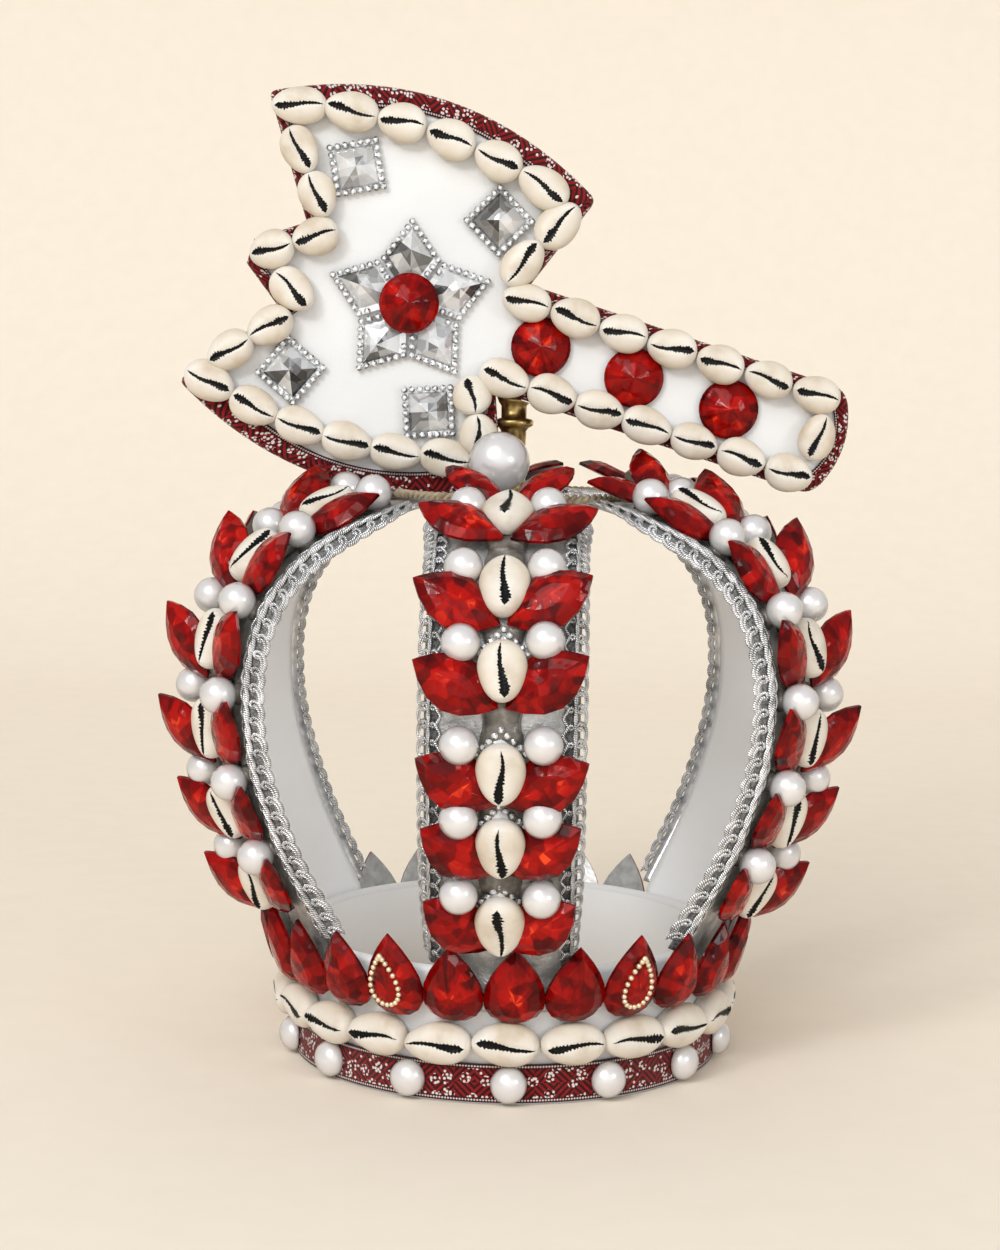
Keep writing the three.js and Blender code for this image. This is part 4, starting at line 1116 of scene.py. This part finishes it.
front_stance = {
    "low_rise": 39, "high_rise": 26, "lift": 7, "low_tilt": 22,
    "inset": 1.2, "drop": 10.2, "pearls": (10.6, 5.4),
}
side_stance = {
    "low_rise": 56, "high_rise": 56, "lift": 10, "low_tilt": 10,
    "inset": 4.0, "drop": 12, "pearls": (11.6, 11.6),
}
top_stance = {"rise": 44, "lift": 14, "tilt": 0, "inset": 1.2}
spray_cowrie_length = 19.8
spray_cowrie_width = 15.6
spray_cowrie_relief = 8.0
bed_bulge = foot_radius * (1 - math.cos(glue_bed_width / (2 * foot_radius)))
bed_under = strip_outer + seat_gap + bed_bulge
bed_over = bed_under + glue_bed_thickness


def marquise(length, width, thickness):
    """A pointed stone, inner tip at the origin and length on +X: across is 1 - along squared. Its crown has a
    steep rim, two rows of facets and a short ridge."""
    way = full_turn(wing_sides)
    share = np.cos(way)
    across = np.sign(np.sin(way)) * (1 - share**2)
    outline = joined(length / 2 * (1 + share), width / 2 * across)
    return cut_stone(outline, np.array([length / 2, 0]), wing_rings, thickness)


def wing_pair(length, width, rise, lift, tilt, inset, along, roll):
    """A right and a left stone at one place on the front arch. Tilt turns the face up, lift raises the tip,
    rise turns the tip up the arch and roll leans the pair to one side."""
    seat = arch_frame(along, bed_under + wing_seat) @ turn("Y", roll)
    pair = []
    for side, heading in ((1, rise), (-1, 180 - rise)):
        wobble = chooser.uniform(-wing_wobble, wing_wobble, 2)
        steps = (
            turn("X", -side * tilt),
            turn("Y", -lift + wobble[0]),
            turn("Z", heading + wobble[1]),
            shift(side * inset, 0, 0),
            seat,
        )
        pair.append(moved(marquise(length, width, wing_thickness), *steps))
    return pair


def glue_bed(end):
    """A lumpy bar of glue on the front arch: an arched section whose height rises and falls along it."""
    start = first_row_along - glue_bed_end
    along = np.linspace(start, end, glue_rows)[:, None]
    share = np.linspace(-1, 1, glue_columns)[None, :]
    lumps = sum(rise * np.sin(along * rate + share * lag) for rise, rate, lag in glue_lumps)
    edge = glue_bed_width * visible_bed_share / 2 + glue_edge_sway * np.sin(along * glue_edge_rate)
    arched = bed_under + (glue_bed_thickness - glue_dip + lumps) * np.sqrt(np.clip(1 - share**4, 0, 1))
    top = on_arch(edge * share, along, arched)[:, ::-1]
    under = on_arch(edge * share, along, np.broadcast_to(bed_under, arched.shape))
    return surface(capped(np.concatenate([top, under, top[:, :1]], axis=1)))


glue = cloudy_finish("hot_glue", {"Roughness": 0.3, "Coat Weight": 0.3, "Metallic": 0.1}, (210.0, 4.0), [
    (0.3, (0.07, 0.06, 0.05)),
    (0.55, (0.18, 0.16, 0.135)),
    (0.75, (0.42, 0.4, 0.37)),
], reliefs=[(1.0, (420.0, 3.0))], depth=0.0006)
small_stone_pitch = 2.45
small_stone_share = 0.94
small_stone_sides = 8
small_stone_line = ((0, 0), (1, 0), (1, 0.5), (0.86, 0.72), (0.45, 1), (0, 1))
small_stone_rim_shade = 0.05
sparkle_range = (-0.5, 0.1)
mirror_step_share = 0.45
mirror_step_height = 0.72
crystal_side = 13.0
crystal_height = 3.4
crystal_sink = 2.2
crystal_along = 5.0
crystal_overlap = 1.06
crystal_border = 0.22
crystal_slack = 6
pearl_foot_line = ((0, -7.0), (3.8, -7.0), (3.2, -5.4), (3.0, -3.8), (0, -3.8))


def small_stone(diameter):
    """A round brilliant of eight sides in a low cup: rim, waist, sloping crown and table."""
    radius = diameter / 2
    made = turned(np.array(small_stone_line) * radius, small_stone_sides, smooth=False)
    # Each facet's shade is painted light: dark at the rim, brighter up to the table, with random painted
    # glints and shade.
    height = made["points"][made["faces"][:, 0], 2] / radius
    sparkle = chooser.uniform(*sparkle_range, len(height))
    shade = np.clip(small_stone_rim_shade + (1 - small_stone_rim_shade) * height + sparkle, 0, 1)
    made["shade"] = np.repeat(shade[:, None], 4, axis=1)
    return made


def mirror_stone(corners, peak, height, border):
    """A clear stone over a polygon of corners: a silver border, then facets that rise to the peak. The
    border's inner line is drawn in toward the peak."""
    corners = np.asarray(corners, float)
    share = np.linspace(0, 1, 2, endpoint=False)[:, None]
    sides = [start + (end - start) * share for start, end in zip(corners, np.roll(corners, -1, axis=0))]
    outline = np.concatenate(sides)
    outline = np.concatenate([outline, outline[:1]])
    drawn = 1 - border
    stepped = mirror_step_share * drawn
    rings = [(1, 1, rim_share), (drawn, drawn, rim_share), (stepped, stepped, mirror_step_height), (0, 0, 1)]
    return cut_stone(outline, np.asarray(peak, float), rings, height)


def stones_along(path, height):
    """Small stones side by side on the lines through the path's points, at the given height."""
    stones = []
    for start, end in zip(path[:-1], path[1:]):
        count = max(1, round(np.linalg.norm(end - start) / small_stone_pitch))
        for step in range(count):
            place = start + (end - start) * step / count
            stones.append(moved(small_stone(small_stone_pitch * small_stone_share), shift(*place, height)))
    return stones


clear_stone, *clear_parts = new_finish("clear_silvered_acrylic", {
    "Metallic": 0.35,
    "Roughness": 0.12,
    "Coat Weight": 0.5,
})
# The ramp paints the silvered facets' reflections as painted light and shade, from near black to near white.
faceted(*clear_parts, {"Scale": 260.0, "Randomness": 1.0}, (0.85, 0.15), [
    (0.15, (0.03, 0.03, 0.03)),
    (0.38, (0.25, 0.25, 0.25)),
    (0.55, (0.7, 0.71, 0.72)),
    (0.8, (0.96, 0.97, 0.98)),
], 0.0001)
unit_square = np.array([[-1, -1], [1, -1], [1, 1], [-1, 1], [-1, -1]])
crystal_line = unit_square * crystal_side / 2 * (1 - small_stone_pitch / crystal_side)
crystal = mirror_stone(crystal_line[:-1] * crystal_overlap, (0, 0), crystal_height, crystal_border)
small_square = fused([crystal, *stones_along(crystal_line, crystal_height * rim_share)])
spray_pearl = ball(spray_pearl_diameter, 32, 19)
pearl_height = strip_outer + spray_pearl_diameter / 2 + spray_pearl_lift
pearl_foot = turned(pearl_foot_line, 20)
last_row_along = path_length - tab_length - last_row_from_axis
for place, azimuth in arch_azimuths.items():
    wings, pearls, shells, feet, crystals = [], [], [], [], []
    stance = front_stance if place == "front" else side_stance
    roll = spray_rolls.get(place, 0.0)
    for row in range(spray_rows):
        share = row / (spray_rows - 1)
        along = first_row_along + (last_row_along - first_row_along) * share
        if place == "front":
            along += front_row_shifts[row]
        rise = stance["low_rise"] + (stance["high_rise"] - stance["low_rise"]) * share
        tilt = stance["low_tilt"] * (1 - share)
        foot_along = along - stance["drop"]
        wing_size = (visible_wing_length, visible_wing_width)
        wings += wing_pair(*wing_size, rise, stance["lift"], tilt, stance["inset"], foot_along, roll)
        spray_cowrie = shell_like(spray_cowrie_length, spray_cowrie_width, spray_cowrie_relief)
        upright = moved(spray_cowrie, turn("Z", 90))
        cowrie_seat = arch_frame(along, bed_over - glue_sink)
        shells.append(moved(upright, turn("Y", roll * cowrie_roll_share), cowrie_seat))
        for side in (-1, 1):
            pearl_along = along + np.interp(share, (0, 1), stance["pearls"])
            pearl_along += chooser.uniform(-spray_pearl_slack, spray_pearl_slack)
            upright_seat = arch_frame(pearl_along, 0.0)
            upright_seat[:3, 3] = on_arch(side * spray_pearl_spread, pearl_along, pearl_height)
            pearls.append(moved(spray_pearl, upright_seat))
            feet.append(moved(pearl_foot, upright_seat))
        crystal_seat = arch_frame(along + crystal_along, bed_over - crystal_sink)
        crystal_turn = turn("Z", 45 + chooser.uniform(-crystal_slack, crystal_slack))
        crystals.append(moved(small_square, crystal_turn, crystal_seat))
    top_along = last_row_along + top_wing_along
    if place not in blade_arches:
        wings += wing_pair(top_wing_length, top_wing_width, **top_stance, along=top_along, roll=roll)
    spray_parts = (
        ("glue_bed", [glue_bed(top_along + glue_bed_end / 2), *feet], [glue], "red_stone"),
        ("marquise_wings", wings, [red_stone, foil], "red_stone"),
        ("spray_pearls", pearls, [pearl], "pearl"),
        ("spray_cowries", shells, [shell], "shell"),
        ("spray_crystals", crystals, [clear_stone, foil], "clear_stone"),
    )
    for part, parts, finishes, slot_name in spray_parts:
        placed = moved(fused(parts), turn("Z", azimuth))
        add_piece(f"{part}_{place}", placed, finishes, slot_name, f"arch_spray_{place}")

# Top plate, nut, rod and post: a cloth-covered round plate under the strip heads carries a turned brass post,
# drawn tight by a rod and a nut from below. The post's cup is cut to the slope of the axe's handle.
plate_radius = 27.0
post_foot_radius = 11.0
post_foot_thickness = 3.0
post_neck_radius = 4.3
post_collar_radius = 6.6
post_collar_thickness = 2.4
post_collar_share = 0.68
post_cup_radius = 6.0
post_cup_height = 5.0
post_height = 37.0
bore_radius = 2.8
axe_tilt = 17.36
neck_half_width = 18.6
stone_box = np.array(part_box("star_centre_stone")) / MM
axe_origin = stone_box.mean(axis=0) * [1, 0, 1]
tilt_angle = math.radians(axe_tilt)
plate_low, plate_high = np.array(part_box("top_plate")) / MM
post_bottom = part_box("post")[0][2] / MM
plate_line = [
    [bore_radius, plate_low[2]],
    [plate_radius - 0.6, plate_low[2]],
    [plate_radius, plate_low[2] + 0.5],
    [plate_radius, plate_high[2] - 0.5],
    [plate_radius - 0.6, plate_high[2]],
    [bore_radius, plate_high[2]],
    [bore_radius, plate_low[2]],
]
add_piece("covered_top_plate", turned(plate_line, 72), [lame], "lame", "top_plate")
collar_level = post_height * post_collar_share
collar_top = collar_level + post_collar_thickness
cup_foot = post_height - post_cup_height
round_line = [
    [bore_radius, 0],
    [post_foot_radius - 0.5, 0],
    [post_foot_radius, 0.4],
    [post_foot_radius - 0.2, 1.3],
    [post_foot_radius * 0.75, 1.9],
    [post_neck_radius + 1.6, post_foot_thickness - 0.4],
    [post_neck_radius + 0.5, post_foot_thickness + 0.3],
    [post_neck_radius, post_foot_thickness + 1.6],
    [post_neck_radius - 0.5, collar_level * 0.5],
    [post_neck_radius, collar_level - 1.6],
    [post_neck_radius + 0.7, collar_level - 0.5],
    [post_collar_radius - 0.5, collar_level],
    [post_collar_radius, collar_level + 0.5],
    [post_collar_radius, collar_top - 0.5],
    [post_collar_radius - 0.5, collar_top],
    [post_neck_radius, collar_top + 0.4],
    [post_neck_radius, cup_foot],
    [post_neck_radius + 0.9, cup_foot + 1.4],
    [post_cup_radius, cup_foot + 3.6],
    [post_cup_radius, post_height],
    [bore_radius, post_height],
    [bore_radius, 0],
]
post_shell = moved(turned(round_line, 48), shift(0, 0, post_bottom))
handle_under = neck_half_width + seat_gap
handle_fall = (post_shell["points"][:, 0] - axe_origin[0]) * math.sin(tilt_angle)
slope_level = axe_origin[2] - (handle_under + handle_fall) / math.cos(tilt_angle)
post_shell["points"][:, 2] = np.minimum(post_shell["points"][:, 2], slope_level)
brass = cloudy_finish("worn_brass", {"Metallic": 1.0, "Roughness": 0.3}, (260.0, 5.0), [
    (0.3, (0.2, 0.13, 0.045)),
    (0.55, (0.5, 0.36, 0.14)),
    (0.8, (0.72, 0.56, 0.28)),
], reliefs=[(1.0, (900.0, 3.0))], depth=0.00008)
add_piece("turned_post", post_shell, [brass], "brass", "post")
finish_node("post_nut", brass)
finish_node("post_rod", brass)

# Axe board and covers: a stiff board cut to the outline of a double axe, with smooth white covers glued on
# both faces. The board is hidden under the covers and the ribbon.
finish_node("axe_board", board)
axe_cover = cloudy_finish("smooth_white_cover", {"Roughness": 0.5, "Sheen Weight": 0.15}, (25.0, 3.0), [
    (0.3, (0.74, 0.745, 0.745)),
    (0.7, (0.8, 0.805, 0.805)),
], reliefs=[(1.0, (2200.0, 1.0)), (1.5, (90.0, 2.0))], depth=0.00006)
finish_node("axe_cover_front", axe_cover)
finish_node("axe_cover_back", axe_cover)

# Axe ribbon: the same woven ribbon, wrapped over the edge of the board all round, with a lip on each face. It
# is one closed band whose section is a channel with round corners.
board_thickness = 10.0
axe_cover_thickness = 0.8
axe_ribbon_thickness = 0.7
ribbon_lip = 6.5
blade_left = 66.0
blade_right = 48.5
upper_corner = 52.0
lower_corner = 48.5
edge_bow = 15.5
neck_along = 36.3
notch_along = 41.0
notch_half_width = 15.0
tail_along = 56.0
tail_half_width = 4.2
handle_end = 148.0
handle_bow = 5.5
blade_corner = 2.6
handle_corner = 4.5
corner_shrink = 0.6
axe_corners = np.array([
    [-blade_left, upper_corner],
    [blade_right, upper_corner],
    [neck_along, neck_half_width],
    [handle_end, neck_half_width],
    [handle_end, -neck_half_width],
    [neck_along, -neck_half_width],
    [blade_right, -lower_corner],
    [-blade_left, -lower_corner],
    [-notch_along, -notch_half_width],
    [-tail_along, -tail_half_width],
    [-tail_along, tail_half_width],
    [-notch_along, notch_half_width],
])
side_bows = np.array([edge_bow, 0, 0, handle_bow, 0, 0, edge_bow, 0, 0, 0, 0, 0])
corner_cuts = np.array([
    blade_corner, blade_corner, 0, handle_corner, handle_corner, 0, blade_corner, blade_corner, 0, 0, 0, 0,
])
side_steps = np.array([56, 18, 56, 18, 56, 18, 56, 20, 10, 6, 10, 20])


def axe_outline(insets):
    """The outline with each side moved inward by its inset, as points along every side. A side with a bow
    rises by 4 share (1 - share) of it, and a cut corner is rounded by the curve through its two ends."""
    sides = np.roll(axe_corners, -1, axis=0) - axe_corners
    headings = sides / np.linalg.norm(sides, axis=1, keepdims=True)
    inward = joined(headings[:, 1], -headings[:, 0])
    insets = np.broadcast_to(insets, len(sides))
    origins = axe_corners + inward * insets[:, None]
    cuts = np.maximum(corner_cuts - corner_shrink * np.maximum(insets, np.roll(insets, 1)), 0)
    before, before_heading = np.roll(origins, 1, axis=0), np.roll(headings, 1, axis=0)
    gap = origins - before
    turned_gap = gap[:, 0] * headings[:, 1] - gap[:, 1] * headings[:, 0]
    turned_heading = before_heading[:, 0] * headings[:, 1] - before_heading[:, 1] * headings[:, 0]
    corners = before + before_heading * (turned_gap / turned_heading)[:, None]
    stretches = []
    for side, steps in enumerate(side_steps):
        after = (side + 1) % len(corners)
        length = np.linalg.norm(corners[after] - corners[side])
        share = np.linspace(cuts[side] / length, 1 - cuts[after] / length, steps + 1)[:, None]
        straight = corners[side] * (1 - share) + corners[after] * share
        stretches.append(straight - inward[side] * side_bows[side] * 4 * share * (1 - share))
    pieces = []
    bend = np.linspace(0, 1, 7)[1:-1, None]
    for side, stretch in enumerate(stretches):
        after = (side + 1) % len(corners)
        rounded = stretch[-1] * (1 - bend) ** 2 + corners[after] * 2 * bend * (1 - bend)
        pieces += [stretch, rounded + stretches[after][0] * bend**2]
    outline = np.concatenate(pieces)
    return np.concatenate([outline, outline[:1]])


axe_frame = shift(*axe_origin) @ turn("Y", axe_tilt) @ turn("X", 90)
board_face = board_thickness / 2
cover_over = board_face + seat_gap + axe_cover_thickness
lip_under = cover_over + seat_gap
lip_over = lip_under + axe_ribbon_thickness
stone_seat = cover_over + seat_gap
edge_round = 2.2
lip_edge = 0.1
lip_bevel = 0.3
inner_step = 1.6
plain_lip_share = 0.68
round_way = np.linspace(0, np.pi / 2, 6)
front_round = [(edge_round * (1 - math.sin(w)), lip_over - edge_round * (1 - math.cos(w))) for w in round_way]
outer_section = [(ribbon_lip, lip_over - lip_edge), (ribbon_lip - lip_bevel, lip_over), *front_round]
outer_section += [(inset, -level) for inset, level in reversed(outer_section)]
inner_section = [(ribbon_lip, -lip_under), (inner_step, -lip_under), (axe_ribbon_thickness, -lip_under + 1)]
inner_section += [(inset, -level) for inset, level in reversed(inner_section)]
ribbon_section = np.array([*outer_section, *inner_section, outer_section[0]])
section_run = run_along(ribbon_section)
lip_shares = np.where(side_bows == edge_bow, 1.0, plain_lip_share)
ribbon_rows = [axe_outline(inset * lip_shares) for inset, _ in ribbon_section]
outline_run = run_along(axe_outline(0))
ribbon_grid = np.stack([
    np.concatenate([row, np.full((len(row), 1), level)], axis=1)
    for row, (_, level) in zip(ribbon_rows, ribbon_section)
])
ribbon_grid_uv = joined(outline_run[None, :], section_run[:, None])
axe_ribbon_width = section_run[len(outer_section) - 1]
wide_ribbon = woven_ribbon("wine_ribbon_wide", axe_ribbon_width)
wrapped = surface(ribbon_grid, ribbon_grid_uv)
add_piece("ribbon_round_axe", moved(wrapped, axe_frame), [wide_ribbon], "ribbon", "axe_ribbon")

# Axe cowries: a border of cut cowries glued end to end in rows, just inside the ribbon on the two cutting
# edges and over its lip along the other sides. Each row has two ends, a bow outward and a number of shells.
axe_cowrie_width = 12.8
axe_cowrie_relief = 6.6
cowrie_rows = (
    ((-62.8, 48.0), (39.0, 47.8), 8.0, 6),
    ((42.9, 47.5), (28.0, 16.6), 0.0, 2),
    ((28.6, 12.4), (147.0, 13.8), 0.0, 7),
    ((143.4, 8.6), (143.4, -7.8), 0.0, 1),
    ((146.5, -14.0), (29.6, -13.8), 0.0, 7),
    ((26.2, -16.5), (38.6, -40.0), 0.0, 2),
    ((35.9, -42.8), (-63.6, -43.3), 7.5, 6),
    ((-57.0, -39.5), (-36.6, -15.6), 0.0, 2),
    ((-31.0, -11.4), (-45.4, -4.2), 0.0, 1),
    ((-55.0, -1.8), (-29.8, 15.5), 0.0, 2),
    ((-34.8, 18.3), (-54.8, 42.7), 0.0, 2),
)
border_shells = []
for start, end, bow, count in cowrie_rows:
    start, end = np.array(start), np.array(end)
    reach = end - start
    outward = np.array([-reach[1], reach[0]]) / np.linalg.norm(reach)
    share = np.linspace(0, 1, count + 1)[:, None]
    row_line = start + reach * share + outward * bow * 4 * share * (1 - share)
    for before, after in zip(row_line[:-1], row_line[1:]):
        step = after - before
        small = shell_like(np.linalg.norm(step) + glue_depth, axe_cowrie_width, axe_cowrie_relief)
        heading = math.degrees(math.atan2(step[1], step[0]))
        middle = (before + after) / 2
        border_shells.append(moved(small, turn("Z", heading), shift(*middle, lip_over + seat_gap)))
add_piece("cowries_round_axe", moved(fused(border_shells), axe_frame), [shell], "shell", "axe_cowries")

# Round stones: three on the handle and one over the middle of the star. Each is a red acrylic cone cut in
# narrow facets from a point, with a row of small facets round its rim.
round_stone_diameter = 20.0
round_stone_height = 7.0
round_stone_sides = 32
round_stone_rings = ((1, 1, rim_share), (0.9, 0.9, 0.38), (0.5, 0.5, 0.72), (0, 0, 1))
handle_stone_places = (46.2, 79.0, 112.5)
star_radius = 28.6
star_inner_radius = 17.6
star_arm_height = 5.0
star_turn = 105.8


def round_stone(diameter, height):
    """A pointed round stone: a circle drawn in by rings to one point."""
    way = full_turn(round_stone_sides)
    outline = joined(np.cos(way), np.sin(way)) * diameter / 2
    return cut_stone(outline, np.zeros(2), round_stone_rings, height)


for step, along in enumerate(handle_stone_places):
    stone = round_stone(round_stone_diameter, round_stone_height)
    seated = moved(stone, shift(along, 0, stone_seat), axe_frame)
    node = f"handle_stone_{step + 1}"
    add_piece(f"round_red_stone_{step + 1}", seated, [red_stone, foil], "red_stone", node)
star_slope = star_arm_height / (star_inner_radius + glue_depth)
centre_seat = stone_seat + star_slope * (round_stone_diameter / 2 + glue_depth) + seat_gap
centre_stone = round_stone(round_stone_diameter, round_stone_height)
centre_stone = moved(centre_stone, shift(0, 0, centre_seat), axe_frame)
add_piece("star_middle_stone", centre_stone, [red_stone, foil], "red_stone", "star_centre_stone")

# Star and square mirrors: clear silver-backed stones, each in a moulded border of small clear stones. Five
# kites meet side by side as the star, and four square ones lie round it.
square_stone_side = 18.0
square_stone_height = 6.0
border_width = 2.6
mirror_inset_share = 0.35
square_stone_places = ((-30.4, 37.2, 73.0), (20.0, 35.2, 107.0), (-31.0, -33.4, 112.0), (17.2, -32.2, 66.0))
half_square = square_stone_side / 2
stone_line = unit_square * half_square * (1 - border_width / 2 / half_square)
mirror_corners = unit_square[:-1] * half_square * (1 - mirror_inset_share * border_width / half_square)
square_border = (1 - mirror_inset_share) * border_width / half_square
for step, (along, across, heading) in enumerate(square_stone_places):
    mirror = [mirror_stone(mirror_corners, (0, 0), square_stone_height, square_border)]
    mirror += stones_along(stone_line, square_stone_height * rim_share)
    seated = moved(fused(mirror), turn("Z", heading + 45), shift(along, across, stone_seat), axe_frame)
    node = f"axe_mirror_{step + 1}"
    add_piece(f"square_mirror_{step + 1}", seated, [clear_stone, foil], "clear_stone", node)

star_arms = 5
kite_mirror_share = 0.93
kite_border = 0.22
kite_line_share = 0.87
near_centre_share = 0.62
arm_turn = math.pi / star_arms
shoulder = star_inner_radius * np.array([math.cos(arm_turn), math.sin(arm_turn)])
kite = np.array([[0, 0], [shoulder[0], -shoulder[1]], [star_radius, 0], shoulder])
kite_peak = np.array([star_inner_radius, 0])
kite_mirror = kite_peak + (kite - kite_peak) * kite_mirror_share
kite_line = kite_peak + (kite - kite_peak) * kite_line_share
near_centre = kite_line[0] + (kite_line[1] - kite_line[0]) * near_centre_share
star_shells = []
for step in range(star_arms):
    arm = [mirror_stone(kite_mirror, kite_peak, star_arm_height, kite_border)]
    arm += stones_along([*kite_line[1:], near_centre * [1, -1]], star_arm_height * rim_share)
    arm += stones_along([near_centre, kite_line[1]], star_arm_height * rim_share)
    star_shells.append(moved(fused(arm), turn("Z", star_turn + 360 * step / star_arms)))
star = moved(fused(star_shells), shift(0, 0, stone_seat), axe_frame)
add_piece("mirror_star", star, [clear_stone, foil], "clear_stone", "axe_star")

# Top pearl: one large round imitation pearl with the same milky coat as the small ones. It is glued at the
# head of the front arch, in front of the post.
top_pearl_diameter = 20.0
pearl_low, pearl_high = np.array(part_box("top_pearl")) / MM
pearl_middle = (pearl_low + pearl_high) / 2
large_pearl = moved(ball(top_pearl_diameter, 48, 33), shift(*pearl_middle))
add_piece("large_round_pearl", large_pearl, [pearl], "pearl", "top_pearl")
